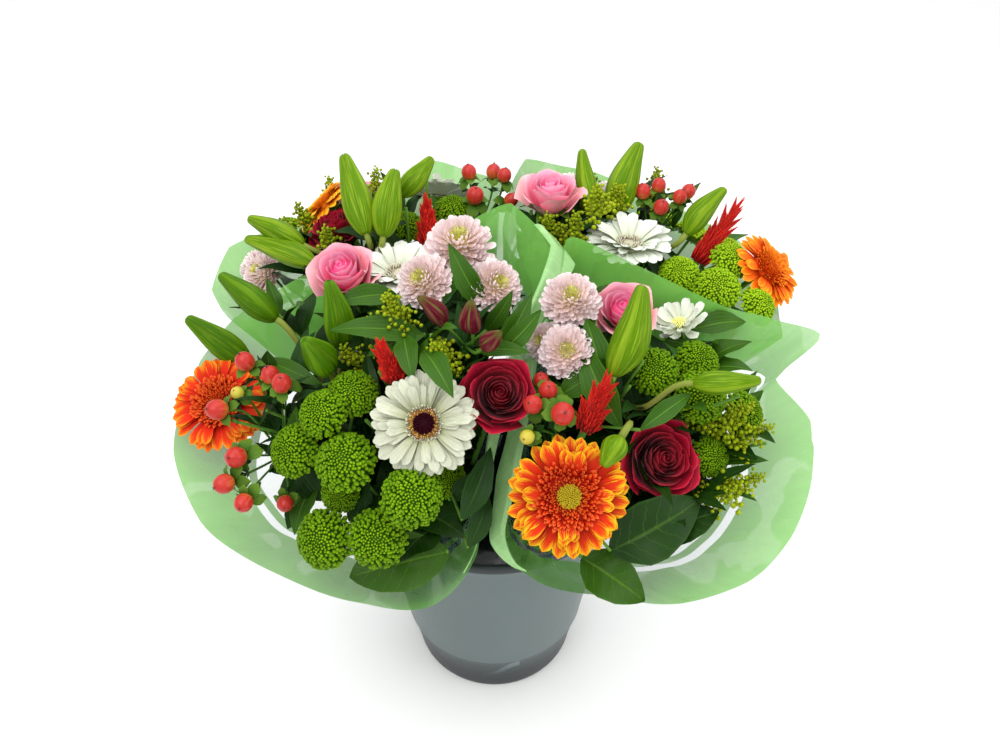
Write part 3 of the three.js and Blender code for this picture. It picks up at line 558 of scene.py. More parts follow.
leafBook = {
    "broadLeaf": {
        "deep": (0.004, 0.02, 0.001), "bright": (0.013, 0.055, 0.002), "rib": (0.045, 0.11, 0.012),
        "slanted": 7.0, "parallel": 0.0, "rough": 0.38,
    },
    "freshLeaf": {
        "deep": (0.015, 0.058, 0.0015), "bright": (0.04, 0.12, 0.004), "rib": (0.085, 0.2, 0.012),
        "slanted": 7.0, "parallel": 0.0, "rough": 0.4,
    },
    "slimLeaf": {
        "deep": (0.012, 0.05, 0.0015), "bright": (0.042, 0.13, 0.004), "rib": (0.12, 0.26, 0.02),
        "slanted": 0.0, "parallel": 3.5, "rough": 0.42,
    },
    # A darker copy of slimLeaf: painted shade on leaves deep in the bunch and under the berries
    "deepLeaf": {
        "deep": (0.004, 0.024, 0.003), "bright": (0.016, 0.062, 0.004), "rib": (0.035, 0.1, 0.012),
        "slanted": 0.0, "parallel": 3.0, "rough": 0.45,
    },
}
for paintName, recipe in leafBook.items():
    leafPaint(paintName, **recipe)


# Lily and alstroemeria buds: by the layer mark, dark in the grooves as painted shade, pale beside them,
# green on the ribs
def budPaint(name, groove, edge, body, rib, tip, flush):
    net = paintNet(name)
    along = net.mark("along")
    ridge = net.mark("layer")
    fibre = net.noise(net.vector(net.mark("across") * 22.0, along * 0.9, net.mark("tint") * 17.0), 3.0, 3.0)
    # The groove colour is painted shade in the grooves between the tepals
    stops = [(0.0, groove), (0.12, edge), (0.36, body), (0.82, body), (0.96, rib), (1.0, rib)]
    skin = net.ramp(ridge + (fibre - 0.5) * 0.26, stops)
    streaks = ((fibre - 0.5) * 6.0).clipped() * 0.75
    tipMask = ((along - 0.8) * 4.0).clipped()
    streaked = net.mix(streaks, skin, flush)
    finishPaint(
        net,
        Base_Color=net.mix(tipMask * 0.7, streaked, tip),
        Roughness=0.4 + (fibre - 0.5) * 0.2,
        Normal=net.bump(fibre, 0.35, 0.0008),
        Specular_IOR_Level=0.08,
    )


budBook = {
    "limeBud": {
        "groove": (0.05, 0.13, 0.003), "edge": (0.18, 0.3, 0.012), "body": (0.085, 0.19, 0.001),
        "rib": (0.17, 0.28, 0.008), "tip": (0.13, 0.24, 0.008), "flush": (0.25, 0.37, 0.02),
    },
    "grassBud": {
        "groove": (0.012, 0.05, 0.001), "edge": (0.1, 0.2, 0.006), "body": (0.045, 0.13, 0.001),
        "rib": (0.09, 0.2, 0.003), "tip": (0.07, 0.17, 0.003), "flush": (0.12, 0.23, 0.005),
    },
    "stripedBud": {
        "groove": (0.05, 0.005, 0.008), "edge": (0.16, 0.19, 0.03), "body": (0.09, 0.004, 0.012),
        "rib": (0.13, 0.06, 0.03), "tip": (0.06, 0.12, 0.01), "flush": (0.22, 0.06, 0.05),
    },
}
for paintName, recipe in budBook.items():
    budPaint(paintName, **recipe)


berryBook = {
    "coralBerry": [
        (0.0, (0.46, 0.3, 0.03)), (0.25, (0.54, 0.14, 0.03)), (0.5, (0.48, 0.03, 0.02)),
        (1.0, (0.38, 0.016, 0.014)),
    ],
    "unripeBerry": [(0.0, (0.24, 0.3, 0.03)), (0.5, (0.45, 0.42, 0.04)), (1.0, (0.52, 0.4, 0.05))],
}


def berryPaint(name, stops):
    net = paintNet(name)
    where = net.vector(net.mark("across") * 9.0, net.mark("along") * 1.1, net.mark("tint") * 19.0)
    streak = net.noise(where, 2.0)
    finishPaint(
        net,
        Base_Color=net.ramp(net.mark("along") + (streak - 0.5) * 0.7, stops),
        Roughness=0.24 + streak * 0.15,
        Normal=net.bump(streak, 0.1),
        Coat_Weight=0.15,
        Specular_IOR_Level=0.2,
    )


def berryTipPaint():
    net = paintNet("berryTip")
    stops = [(0, (0.02, 0.01, 0.008)), (1, (0.12, 0.05, 0.03))]
    finishPaint(net, Base_Color=net.ramp(net.mark("along"), stops))


# The film's print is laid by the distance from its edge, which is its along mark, in metres
filmPrint = {
    "border": 0.057, "line": (0.065, 0.073), "deep": 0.1, "alpha": 0.32,
    "green": (0.19, 0.52, 0.085), "clear": (0.34, 0.5, 0.52), "shine": (0.72, 0.86, 0.64),
}


def filmPaint():
    net = paintNet("printedFilm")
    inward = net.mark("along")
    low, high = filmPrint["line"]
    printed = (inward < filmPrint["border"]) + (inward > low) * (inward < high)
    cloud = net.noise(net.place(), 14.0, 3.0)
    wrinkle = net.noise(net.place(), 45.0, 2.0)
    # The pleat noise also lightens and darkens the film's colour: painted shade on its pleats
    pleat = net.noise(net.vector(net.mark("across") * 40.0, inward * 9.0, 0.0), 2.0, 3.0)
    patch = ((net.noise(net.place(), 26.0, 1.5) - 0.55) * 60.0).clipped() * printed
    deep = ((inward - filmPrint["deep"]) * 12.0).clipped()  # clear film far below the edge
    ground = net.mix(printed, filmPrint["clear"], filmPrint["green"])
    # The cuffs, whose tint mark is 0.5, take a quarter of the shine colour as a painted sheen
    paintedSheen = net.mix(net.mark("tint") * 0.5, ground, filmPrint["shine"])
    finishPaint(
        net,
        Base_Color=net.brighter(paintedSheen, 0.86 + pleat * 0.28),
        Alpha=filmPrint["alpha"] + printed * 0.52 - deep * 0.24 + (cloud - 0.5) * 0.1 - patch * 0.08,
        Roughness=0.22 + wrinkle * 0.14,
        Normal=net.bump(cloud + wrinkle * 0.3 + pleat * 0.7, 0.35, 0.004),
        Specular_IOR_Level=0.5,
        Coat_Weight=0.15,
        Coat_Roughness=0.25,
    )


# Smooth grey plastic, darker below the nesting step, dark in its rim, with painted shade inside and one
# pale painted highlight streak, given by its left and right ends, its heights there and half its width
bucketLook = {
    "border": 0.0572, "rim": 0.2305, "base": 0.084, "flare": 0.1333,
    "scuff": (-0.012, 0.026, 0.026, 0.05, 0.0055),
    "upper": ((0.076, 0.106, 0.106), (0.112, 0.148, 0.148)),
    "lower": ((0.032, 0.046, 0.048), (0.045, 0.062, 0.064)),
    "pale": (0.2, 0.26, 0.26), "dark": (0.004, 0.007, 0.011),
}


def bucketPaint():
    net = paintNet("bucketGrey")
    look = bucketLook
    place = net.place()
    x, y, height = (net.node("ShaderNodeSeparateXYZ", None, {0: place}, output=k) for k in range(3))
    cloud = net.noise(place, 9.0, 4.0)
    fine = net.noise(place, 420.0, 3.0)
    above = ((height - look["border"]) * 1500.0).clipped()
    body = net.mix(above, net.mix(cloud, *look["lower"]), net.mix(cloud, *look["upper"]))
    wide = (x * x + y * y) ** 0.5
    # Painted shade over the inner wall and floor
    shadedInside = ((look["base"] + height * look["flare"] - wide) * 900.0).clipped()
    dark = (shadedInside + ((height - look["rim"]) * 900.0).clipped()).math("MINIMUM", 1.0)
    # A pale painted highlight streak across the front, low on the bucket
    left, right, low, high, half = look["scuff"]
    share = (x - left) / (right - left)
    middle = low + share * (high - low) - (share * cycle).math("SINE") * 0.003
    near = ((half - (height - middle).math("ABSOLUTE")) * 1200.0).clipped()
    scuff = near * (x > left) * (x < right) * (y < 0.0)
    finishPaint(
        net,
        Base_Color=net.mix(dark * 0.93, net.mix(scuff * 0.55, body, look["pale"]), look["dark"]),
        Roughness=0.34 + fine * 0.12,
        Normal=net.bump(fine + cloud * 0.5, 0.12, 0.0004),
        Specular_IOR_Level=0.4,
    )


# Plain things: fine noise between two colours; water alone is seen through
plainBook = {
    "stillWater": {
        "pair": ((0.006, 0.014, 0.01), (0.012, 0.024, 0.018)),
        "scale": 40.0, "rough": (0.04, 0.04), "bump": (0.1, 0.002), "alpha": (0.6, 0.1),
    },
    "tieRubber": {
        "pair": ((0.5, 0.42, 0.28), (0.66, 0.58, 0.42)),
        "scale": 900.0, "rough": (0.55, 0.15), "bump": (0.3, 0.0003),
    },
    "paleFloor": {"pair": ((0.93, 0.93, 0.93), (0.95, 0.95, 0.95)), "scale": 3.0, "rough": (0.8, 0.0)},
}


def plainPaint(name, pair, scale, rough, bump=None, alpha=None):
    net = paintNet(name)
    grain = net.noise(net.place(), scale)
    values = {"Base_Color": net.mix(grain, *pair), "Roughness": rough[0] + grain * rough[1]}
    if bump:
        values["Normal"] = net.bump(grain, *bump)
    if alpha:
        values["Alpha"] = alpha[0] + grain * alpha[1]
    finishPaint(net, **values)


for paintName, stops in berryBook.items():
    berryPaint(paintName, stops)
berryTipPaint()
filmPaint()
bucketPaint()
for paintName, recipe in plainBook.items():
    plainPaint(paintName, **recipe)
print("paints made:", len(paints))


# Petal heads, as a geometry node tree

headSockets = {"Petal": "Object", "Paint": "Material", "Count": "Int", "Turn": "Float"}
for name in ("Radius", "Height", "Lean", "Size"):
    headSockets.update({name + " Inner": "Float", name + " Outer": "Float"})
headSockets.update({"Wide": "Float", "Bow": "Float", "Fall": "Float", "Jitter": "Float", "Seed": "Int"})


# Petals stand along a spiral from the head's heart to its rim. Bow spaces them over the
# radius, Fall bends the head's outline, and a lean of a quarter turn points a petal upwards.
def makeHeadTree():
    tree = bpy.data.node_groups.new("petalHead", "GeometryNodeTree")
    for name, kind in headSockets.items():
        tree.interface.new_socket(name=name, in_out="INPUT", socket_type="NodeSocket" + kind)
    tree.interface.new_socket(name="Geometry", in_out="OUTPUT", socket_type="NodeSocketGeometry")
    net = Net(tree)
    given = net.make("NodeGroupInput")
    want = {name: Value(net, given.outputs[name]) for name in headSockets}
    index = net.node("GeometryNodeInputIndex")
    share = (index + 0.5) / want["Count"]
    grow = share ** want["Bow"]

    def between(name, by):
        inner = want[name + " Inner"]
        return inner + (want[name + " Outer"] - inner) * by

    def chance(low, high, draw):
        values = {2: low, 3: high, "Seed": want["Seed"] * 7 + draw}
        return net.node("FunctionNodeRandomValue", {"data_type": "FLOAT"}, values, output=1)

    angle = index * want["Turn"] + chance(-1.0, 1.0, 1) * want["Jitter"]
    radius = between("Radius", grow)
    height = between("Height", grow ** want["Fall"])
    lean = between("Lean", grow) + chance(-1.0, 1.0, 2) * want["Jitter"]
    size = between("Size", grow) * (1 + chance(-1.0, 1.0, 3) * want["Jitter"])
    spot = net.vector(radius * angle.math("COSINE"), radius * angle.math("SINE"), height)
    points = net.node("GeometryNodePoints", None, {"Count": want["Count"], "Position": spot})
    petal = net.node("GeometryNodeObjectInfo", None, {"Object": want["Petal"]}, output="Geometry")
    euler = net.vector(chance(-1.0, 1.0, 4) * want["Jitter"], -lean, angle)
    rotation = net.node("FunctionNodeEulerToRotation", None, {0: euler})
    scale = net.vector(size, size * want["Wide"], size)
    values = {"Points": points, "Instance": petal, "Rotation": rotation, "Scale": scale}
    placed = net.node("GeometryNodeInstanceOnPoints", None, values)
    for mark, value in (("layer", share), ("tint", chance(0.0, 1.0, 5))):
        settings = {"data_type": "FLOAT", "domain": "INSTANCE"}
        values = {0: placed, "Name": mark, "Value": value}
        placed = net.node("GeometryNodeStoreNamedAttribute", settings, values)
    whole = net.node("GeometryNodeRealizeInstances", None, {0: placed})
    painted = net.node("GeometryNodeSetMaterial", None, {"Geometry": whole, "Material": want["Paint"]})
    net.make("NodeGroupOutput", None, {"Geometry": painted})
    return tree


petalHead = makeHeadTree()
headInputs = [item for item in petalHead.interface.items_tree if item.in_out == "INPUT"]
socketIds = {item.name: item.identifier for item in headInputs}
templates = {}


# One petal from its root at the origin to its tip at X = 1, with half-widths at stations
def petalShape(rows, cols, half, cup=0.0, arch=0.0, curl=0.0, blunt=0.1, ridge=0.0):
    t = 1 - (1 - np.linspace(0, 1, rows + 1)[:, None]) ** 1.5 + np.zeros(cols + 1)
    u = np.zeros((rows + 1, 1)) + np.linspace(-1, 1, cols + 1)
    stations, widths = zip(*half)
    width = np.interp(t, stations, widths)
    x = t - blunt * np.abs(u) ** 2.5 * t**4
    z = cup * width * u**2 + arch * np.sin(math.pi * t) + curl * t**3
    z = z + ridge * width * np.cos(2 * math.pi * u)
    return gridShape(np.stack([x, width * u, z], axis=-1), marks={"along": t, "across": u})


def beadShape(profile, sides, swell=None):  # a small body of revolution that points along X
    return lathe(profile, sides, swell).moved(Matrix.Rotation(math.pi / 2, 4, "Y"))


sprigBook = {
    "beads": 8, "bead": 0.115, "spread": 0.24, "twig": 0.022,
    "profile": [(0, -1), (0.85, -0.5), (1, 0.1), (0.7, 0.75), (0, 1)],
}


def sprigShape():  # a side twig of goldenrod with round beads all round it
    path = [(x, 0, 0.12 * math.sin(3 * x)) for x in np.linspace(0, 1, 5)]
    size = sprigBook["bead"]
    bead = lathe([(r * size, z * size) for r, z in sprigBook["profile"]], 6).painted("goldenBead")
    beads = []
    for n in range(sprigBook["beads"]):
        x = 0.2 + 0.82 * n / (sprigBook["beads"] - 1)
        turn = n * goldenTurn
        out = sprigBook["spread"] * (1.1 - 0.4 * x)
        place = (x, out * math.cos(turn), 0.12 * math.sin(3 * x) + out * math.sin(turn))
        beads.append(bead.moved(Matrix.Translation(place)))
    return joined([tube(path, sprigBook["twig"], 4).painted("stemGreen"), *beads])


rayHalf = [(0, 0.05), (0.3, 0.1), (0.6, 0.148), (0.78, 0.162), (0.89, 0.14), (0.96, 0.095), (1, 0.035)]
broadHalf = [(0, 0.05), (0.3, 0.11), (0.65, 0.15), (0.88, 0.155), (0.96, 0.125), (1, 0.08)]
spoonHalf = [(0, 0.07), (0.45, 0.14), (0.8, 0.19), (0.94, 0.14), (1, 0.05)]
roundHalf = [(0, 0.1), (0.15, 0.24), (0.35, 0.34), (0.55, 0.38), (0.75, 0.36), (0.88, 0.28), (0.96, 0.16)]
roundHalf.append((1, 0.05))
templateBook = {
    "ray": petalShape(9, 6, rayHalf, 0.1, 0.05, -0.06, 0.03, 0.04),
    "broadRay": petalShape(9, 6, broadHalf, 0.2, 0.06, -0.06, 0.05, 0.09),
    "frill": petalShape(4, 2, [(0, 0.12), (0.5, 0.2), (0.85, 0.16), (1, 0.04)], 0.7, 0.12, 0.1),
    "spoon": petalShape(6, 4, spoonHalf, 0.75, -0.08, 0.24, 0.0),
    "floret": beadShape([(0, 0), (0.22, 0.3), (0.34, 0.7), (0.27, 0.94), (0, 1.06)], 6),
    "seed": beadShape([(0.1, 0), (0.16, 0.5), (0, 1)], 4),
    "spike": beadShape([(0.07, 0), (0.11, 0.35), (0, 1)], 3),
    "sepalLeaf": petalShape(4, 2, [(0, 0.12), (0.35, 0.26), (0.75, 0.18), (1, 0.02)], 0.4, 0.1, -0.1),
    "roundSepal": petalShape(8, 4, roundHalf, 0.2, 0.12, -0.12),
    "sprig": sprigShape(),
}
for name, shape in templateBook.items():
    templates[name] = bpy.data.objects.new(name + "Template", meshOfShape(shape, name))
    for mark in ("layer", "tint"):
        templates[name].data.attributes.remove(templates[name].data.attributes[mark])
    scene.collection.objects.link(templates[name])


# One layer of a head, grown by the tree and turned into a plain mesh; a solid heart is a lathe
def growLayer(layer, seed):
    if "profile" in layer:
        return lathe(layer["profile"], 20).marked(along=layer["shade"]).painted(layer["paint"])
    holder = bpy.data.objects.new("holder", bpy.data.meshes.new("holder"))
    scene.collection.objects.link(holder)
    tree = holder.modifiers.new("petalHead", "NODES")
    tree.node_group = petalHead
    values = {
        "Petal": templates[layer["petal"]],
        "Paint": paints[layer["paint"]],
        "Count": layer["count"],
        "Turn": math.radians(layer["turn"]) if "turn" in layer else goldenTurn,
        "Wide": layer.get("wide", 1.0),
        "Bow": layer.get("bow", 0.5),
        "Fall": layer.get("fall", 2.0),
        "Jitter": layer.get("jitter", 0.06),
        "Seed": seed,
    }
    for name in ("radius", "height", "lean", "size"):
        inner, outer = layer[name]
        ends = np.radians([inner, outer]) if name == "lean" else (inner, outer)
        values[name.capitalize() + " Inner"] = float(ends[0])
        values[name.capitalize() + " Outer"] = float(ends[1])
    for name, value in values.items():
        tree[socketIds[name]] = value
    graph = bpy.context.evaluated_depsgraph_get()
    mesh = bpy.data.meshes.new_from_object(holder.evaluated_get(graph))
    shape = shapeOfMesh(mesh)
    bpy.data.meshes.remove(mesh)
    bpy.data.meshes.remove(holder.data)
    return shape


grown = {}


# A whole head of radius 1, facing +Z; heads of one kind share a few drawings of it
def growHead(kind, number, drawings=3):
    key = (kind, number % drawings)
    if key not in grown:
        layers = [growLayer(layer, 31 * (number % drawings) + k) for k, layer in enumerate(headBook[kind])]
        grown[key] = joined(layers)
    return grown[key]


# A ring of petals; each pair of numbers is for its innermost and its outermost petal
def ring(petal, paint, count, radius, height, lean, size, **more):
    pairs = {"radius": radius, "height": height, "lean": lean, "size": size}
    return {"petal": petal, "paint": paint, "count": count, **pairs, **more}


def heart(paint, shade, profile):
    return {"paint": paint, "shade": shade, "profile": profile}


# The cup gerbera is a white one not fully open, whose inner petals hide its eye
headBook = {
    "orangeGerbera": [
        ring("ray", "orangeRay", 27, (0.3, 0.3), (-0.03, -0.04), (-3, 2), (0.7, 0.7), turn=360 / 27 * 5,
             wide=1.05, jitter=0.05),
        ring("ray", "orangeRay", 25, (0.28, 0.3), (0.01, 0.02), (6, 9), (0.6, 0.64), turn=360 / 25 * 7 + 3,
             wide=1.15, jitter=0.08),
        ring("ray", "orangeRay", 21, (0.26, 0.28), (0.05, 0.06), (14, 18), (0.44, 0.5),
             turn=360 / 21 * 5 + 3, wide=1.2, jitter=0.09),
        ring("frill", "orangeFrill", 230, (0.25, 0.5), (0.1, 0.08), (70, 30), (0.1, 0.17), wide=1.1,
             bow=0.8, jitter=0.12),
        ring("spike", "orangeFringe", 170, (0.15, 0.27), (0.09, 0.1), (90, 66), (0.07, 0.11), wide=1.6,
             jitter=0.12),
        ring("floret", "limeDisc", 150, (0.0, 0.19), (0.08, 0.08), (90, 75), (0.05, 0.06), jitter=0.05),
        heart("orangeFrill", 0.1, [(0, -0.1), (0.42, -0.08), (0.46, 0.04), (0.24, 0.08), (0, 0.1)]),
    ],
    "plainGerbera": [
        ring("ray", "orangeRayPlain", 27, (0.3, 0.3), (-0.03, -0.04), (-3, 3), (0.68, 0.7),
             turn=360 / 27 * 5, wide=1.05, jitter=0.06),
        ring("ray", "orangeRayPlain", 25, (0.28, 0.3), (0.01, 0.02), (6, 10), (0.56, 0.62),
             turn=360 / 25 * 7 + 3, wide=1.1, jitter=0.08),
        ring("frill", "orangeFrill", 260, (0.08, 0.45), (0.13, 0.06), (80, 30), (0.12, 0.17), wide=1.2,
             bow=0.6, jitter=0.14),
        ring("seed", "orangeFringe", 120, (0.12, 0.44), (0.19, 0.1), (88, 50), (0.06, 0.09), wide=1.2,
             bow=0.6, jitter=0.16),
        ring("spike", "orangeFringe", 70, (0.0, 0.16), (0.14, 0.15), (90, 76), (0.08, 0.1), wide=1.6,
             jitter=0.12),
        heart("orangeFrill", 0.1, [(0, -0.1), (0.4, -0.08), (0.44, 0.04), (0.2, 0.1), (0, 0.12)]),
    ],
    "whiteGerbera": [
        ring("broadRay", "whiteRay", 26, (0.26, 0.26), (-0.05, -0.03), (-4, 3), (0.7, 0.75),
             turn=360 / 26 * 5, jitter=0.07),
        ring("broadRay", "whiteRay", 23, (0.25, 0.27), (-0.01, 0.02), (5, 11), (0.56, 0.68),
             turn=360 / 23 * 5 + 4, jitter=0.1),
        ring("broadRay", "whiteRay", 17, (0.25, 0.27), (0.03, 0.04), (13, 18), (0.36, 0.5),
             turn=360 / 17 * 4 + 7, wide=1.2, jitter=0.12),
        ring("seed", "creamFrill", 130, (0.25, 0.32), (0.06, 0.07), (80, 50), (0.05, 0.07), wide=1.3,
             jitter=0.2),
        ring("seed", "goldFrill", 64, (0.19, 0.24), (0.07, 0.08), (88, 62), (0.07, 0.085), wide=1.3,
             jitter=0.2),
        ring("seed", "darkEye", 150, (0.0, 0.2), (0.05, 0.06), (90, 74), (0.055, 0.08), wide=1.4,
             jitter=0.1),
        heart("goldFrill", 0.4, [(0, -0.1), (0.34, -0.06), (0.33, 0.02), (0.19, 0.05), (0, 0.05)]),
        heart("darkEye", 0.5, [(0, 0.0), (0.2, 0.03), (0.2, 0.055), (0, 0.055)]),
    ],
    "cupGerbera": [
        ring("broadRay", "milkRay", 25, (0.22, 0.24), (-0.05, -0.03), (12, 20), (0.76, 0.82),
             turn=360 / 25 * 4, wide=1.2, jitter=0.07),
        ring("broadRay", "milkRay", 22, (0.2, 0.24), (0.0, 0.02), (28, 42), (0.56, 0.7),
             turn=360 / 22 * 5 + 4, wide=1.2, jitter=0.09),
        ring("seed", "creamFrill", 90, (0.1, 0.28), (0.08, 0.06), (88, 60), (0.09, 0.12), wide=1.3,
             jitter=0.16),
        heart("creamFrill", 0.5, [(0, -0.1), (0.3, -0.06), (0.28, 0.04), (0.14, 0.08), (0, 0.08)]),
    ],
    "lilacDaisy": [
        ring("spoon", "lilacPetal", 165, (0.13, 0.38), (0.38, -0.12), (76, -14), (0.22, 0.62), fall=2.2,
             jitter=0.1),
        ring("frill", "lilacHeart", 130, (0.0, 0.24), (0.48, 0.42), (88, 62), (0.1, 0.15), wide=0.8,
             jitter=0.1),
        heart("lilacPetal", 0.0, [(0, -0.26), (0.3, -0.22), (0.44, -0.06), (0.36, 0.2), (0.15, 0.38),
              (0, 0.4)]),
    ],
    "whiteDaisy": [
        ring("spoon", "milkRay", 30, (0.14, 0.18), (0.1, -0.04), (46, 2), (0.5, 0.84), wide=1.1,
             jitter=0.14),
        ring("floret", "lilacHeart", 70, (0.0, 0.2), (0.16, 0.06), (90, 40), (0.08, 0.1), jitter=0.08),
        heart("sepal", 0.2, [(0, -0.2), (0.16, -0.16), (0.22, -0.02), (0.12, 0.12), (0, 0.14)]),
    ],
    "greenButton": [
        ring("floret", "buttonFloret", 320, (0.0, 0.82), (0.42, -0.2), (90, -8), (0.1, 0.26), fall=2.6,
             jitter=0.1),
        ring("frill", "buttonFloret", 44, (0.72, 0.78), (-0.16, -0.26), (-10, -34), (0.2, 0.24), wide=1.2,
             jitter=0.12),
        heart("buttonFloret", 0.35, [(0, -0.36), (0.5, -0.34), (0.82, -0.2), (0.8, -0.04), (0.62, 0.22),
              (0.34, 0.42), (0, 0.5)]),
    ],
    "plume": [
        ring("spike", "plumeSpike", 300, (0.02, 0.34), (0.94, 0.02), (86, 42), (0.12, 0.24), wide=1.5,
             bow=0.75, fall=0.9, jitter=0.24),
        heart("plumeSpike", 0.0, [(0, 0), (0.3, 0.04), (0.34, 0.2), (0.22, 0.55), (0.08, 0.85), (0, 0.95)]),
    ],
    "goldenrod": [
        ring("sprig", "goldenBead", 17, (0.0, 0.02), (0.92, 0.1), (80, 22), (0.2, 0.4), bow=0.85, fall=1.0,
             jitter=0.2),
    ],
    "sepals": [
        ring("sepalLeaf", "sepal", 5, (0.16, 0.16), (0.0, 0.0), (16, 16), (1.0, 1.0), turn=72.0,
             jitter=0.1),
    ],
    "berryLeaves": [
        ring("roundSepal", "sepal", 5, (0.1, 0.1), (0.0, -0.1), (16, -26), (1.25, 1.8), turn=150.0,
             jitter=0.15),
    ],
}


def repainted(kind, olds, new):
    return [{**layer, "paint": new} if layer["paint"] in olds else layer for layer in headBook[kind]]


headBook["amberGerbera"] = repainted("orangeGerbera", ("orangeRay", "orangeFrill"), "litAmberRay")
headBook["litButton"] = repainted("greenButton", ("buttonFloret",), "limeFloret")
headBook["mellowGerbera"] = repainted("plainGerbera", ("orangeRayPlain", "orangeFrill"), "mellowRay")

ahead = (0, -0.6, 0.8)  # up and towards the front
headKeys = ("at", "face", "across", "via")
budKeys = ("from", "to", "girth", "via")
leafKeys = ("from", "to", "width", "up", "paint", "droop")


def keyed(keys, rows):
    return [dict(zip(keys, row)) for row in rows]


def flower(kind, *row):  # one flower on a stem of its own
    return {"kind": kind, **keyed(budKeys if kind == "plume" else headKeys, [row])[0]}


def spray(kind, fork, rows, paint=None):  # heads or buds on stalks that part at the fork
    keys = budKeys if kind in ("lilies", "buds") else headKeys
    return {"kind": kind, "fork": fork, "heads": keyed(keys, rows), "paint": paint}


# The four bouquets: the middles of each one's foot and mouth in the bucket, the middle of its
# spread, its film, flowers and leaves, and each spray of goldenrod from its root to its tip.
# Behind the line crisp the film's edge runs straight from corner to corner. A cuff is the way
# it falls, its width and its rear end. The sheet is the film laid flat, and its area.
bouquets = {}

bouquets["front_left"] = {
    "foot": (-0.036, -0.034), "mouth": (-0.054, -0.052), "spread": (-0.1, -0.062), "crisp": -0.03,
    "cuff": (1, 0.011, 0.03), "sheet": ((0.42, 0.3), 0.123),
    "edge": [
        (0.022, -0.045, 0.438), (0.038, -0.018, 0.464), (0.046, 0.008, 0.478), (0.014, 0.052, 0.492),
        (-0.02, 0.046, 0.478), (-0.062, 0.042, 0.455), (-0.105, 0.046, 0.44), (-0.165, 0.048, 0.425),
        (-0.219, 0.013, 0.405), (-0.243, -0.021, 0.385), (-0.255, -0.086, 0.345), (-0.232, -0.124, 0.305),
        (-0.181, -0.154, 0.288), (-0.109, -0.18, 0.279), (-0.066, -0.185, 0.274), (-0.034, -0.18, 0.284),
        (-0.014, -0.156, 0.302), (-0.01, -0.127, 0.33), (-0.003, -0.095, 0.372), (0.009, -0.068, 0.41),
    ],
    "goldenrod": [
        ((-0.06, -0.06, 0.43), (-0.074, -0.072, 0.482)), ((-0.034, -0.088, 0.43), (-0.04, -0.104, 0.462)),
        ((-0.094, -0.061, 0.405), (-0.11, -0.071, 0.434)),
        ((-0.031, -0.094, 0.42), (-0.037, -0.092, 0.455)), ((-0.073, -0.053, 0.42), (-0.09, -0.064, 0.456)),
    ],
}
bouquets["front_left"]["flowers"] = {
    "orange_gerbera": flower("gerbera", (-0.219, -0.062, 0.374), (-0.08, -0.5, 0.86), 0.081),
    "white_gerbera": flower("gerbera", (-0.047, -0.139, 0.42), (0, -0.72, 0.7), 0.075),
    "rear_white_gerbera": flower("gerbera", (-0.076, 0.012, 0.448), (-0.06, -0.1, 0.99), 0.072),
    "red_rose": flower("rose", (0.006, -0.12, 0.432), (0.1, -0.6, 0.79), 0.051),
    "pink_rose": flower("rose", (-0.118, -0.01, 0.468), (-0.1, -0.42, 0.9), 0.054),
    "lilac_daisies": spray("daisies", (-0.026, -0.012, 0.405), [
        ((-0.026, 0.008, 0.478), (0, -0.4, 0.9), 0.056),
        ((-0.052, -0.03, 0.468), (-0.3, -0.6, 0.75), 0.046),
        ((0.002, -0.024, 0.46), (0.4, -0.55, 0.7), 0.046),
    ]),
    "front_buttons": spray("buttons", (-0.086, -0.12, 0.322), [
        ((-0.123, -0.172, 0.337), (-0.25, -0.7, 0.65), 0.043),
        ((-0.082, -0.178, 0.345), (0, -0.7, 0.7), 0.042),
        ((-0.055, -0.174, 0.383), (0.15, -0.65, 0.75), 0.042),
        ((-0.104, -0.149, 0.394), (-0.1, -0.5, 0.87), 0.043),
        ((-0.034, -0.126, 0.352), (0.3, -0.7, 0.6), 0.03),
    ]),
    "side_buttons": spray("buttons", (-0.116, -0.092, 0.35), [
        ((-0.146, -0.13, 0.386), (-0.4, -0.6, 0.7), 0.039),
        ((-0.122, -0.122, 0.416), (-0.25, -0.5, 0.8), 0.036),
        ((-0.102, -0.104, 0.42), (0.05, -0.45, 0.88), 0.036),
        ((-0.114, -0.142, 0.352), (-0.1, -0.8, 0.5), 0.028),
    ]),
    "coral_berries": spray("berries", (-0.166, -0.092, 0.345), [
        ((-0.185, -0.077, 0.427), (-0.3, -0.1, 0.9), 0.015),
        ((-0.201, -0.11, 0.408), (-0.6, -0.5, 0.5), 0.016),
        ((-0.152, -0.104, 0.428), (0.1, -0.4, 0.9), 0.015),
        ((-0.163, -0.092, 0.426), (-0.2, 0, 0.95), 0.014),
        ((-0.185, -0.137, 0.386), (-0.3, -0.7, 0.6), 0.016),
        ((-0.193, -0.15, 0.372), (-0.6, -0.7, 0.2), 0.015),
        ((-0.178, -0.161, 0.364), (-0.1, -0.9, 0.2), 0.014),
        ((-0.156, -0.14, 0.341), (0.1, -0.9, 0.2), 0.013),
        ((-0.188, -0.098, 0.414), (-0.2, -0.5, 0.8), 0.01),
    ]),
    "lily_buds": spray("lilies", (-0.128, -0.054, 0.372), [
        ((-0.203, -0.022, 0.384), (-0.248, -0.014, 0.424), 0.025),
        ((-0.169, -0.034, 0.436), (-0.212, -0.016, 0.466), 0.023),
        ((-0.122, -0.084, 0.424), (-0.131, -0.1, 0.464), 0.025),
        ((-0.116, -0.06, 0.43), (-0.119, -0.054, 0.484), 0.024),
    ], "grassBud"),
    "red_plume": flower("plume", (-0.07, -0.094, 0.424), (-0.08, -0.104, 0.468), 0.026),
    "alstroemeria_buds": spray("buds", (-0.02, -0.07, 0.436), [
        ((-0.034, -0.078, 0.462), (-0.051, -0.082, 0.488), 0.0155),
        ((-0.014, -0.082, 0.458), (-0.014, -0.086, 0.487), 0.017),
        ((-0.006, -0.098, 0.456), (0.006, -0.108, 0.476), 0.0145),
    ], "stripedBud"),
}
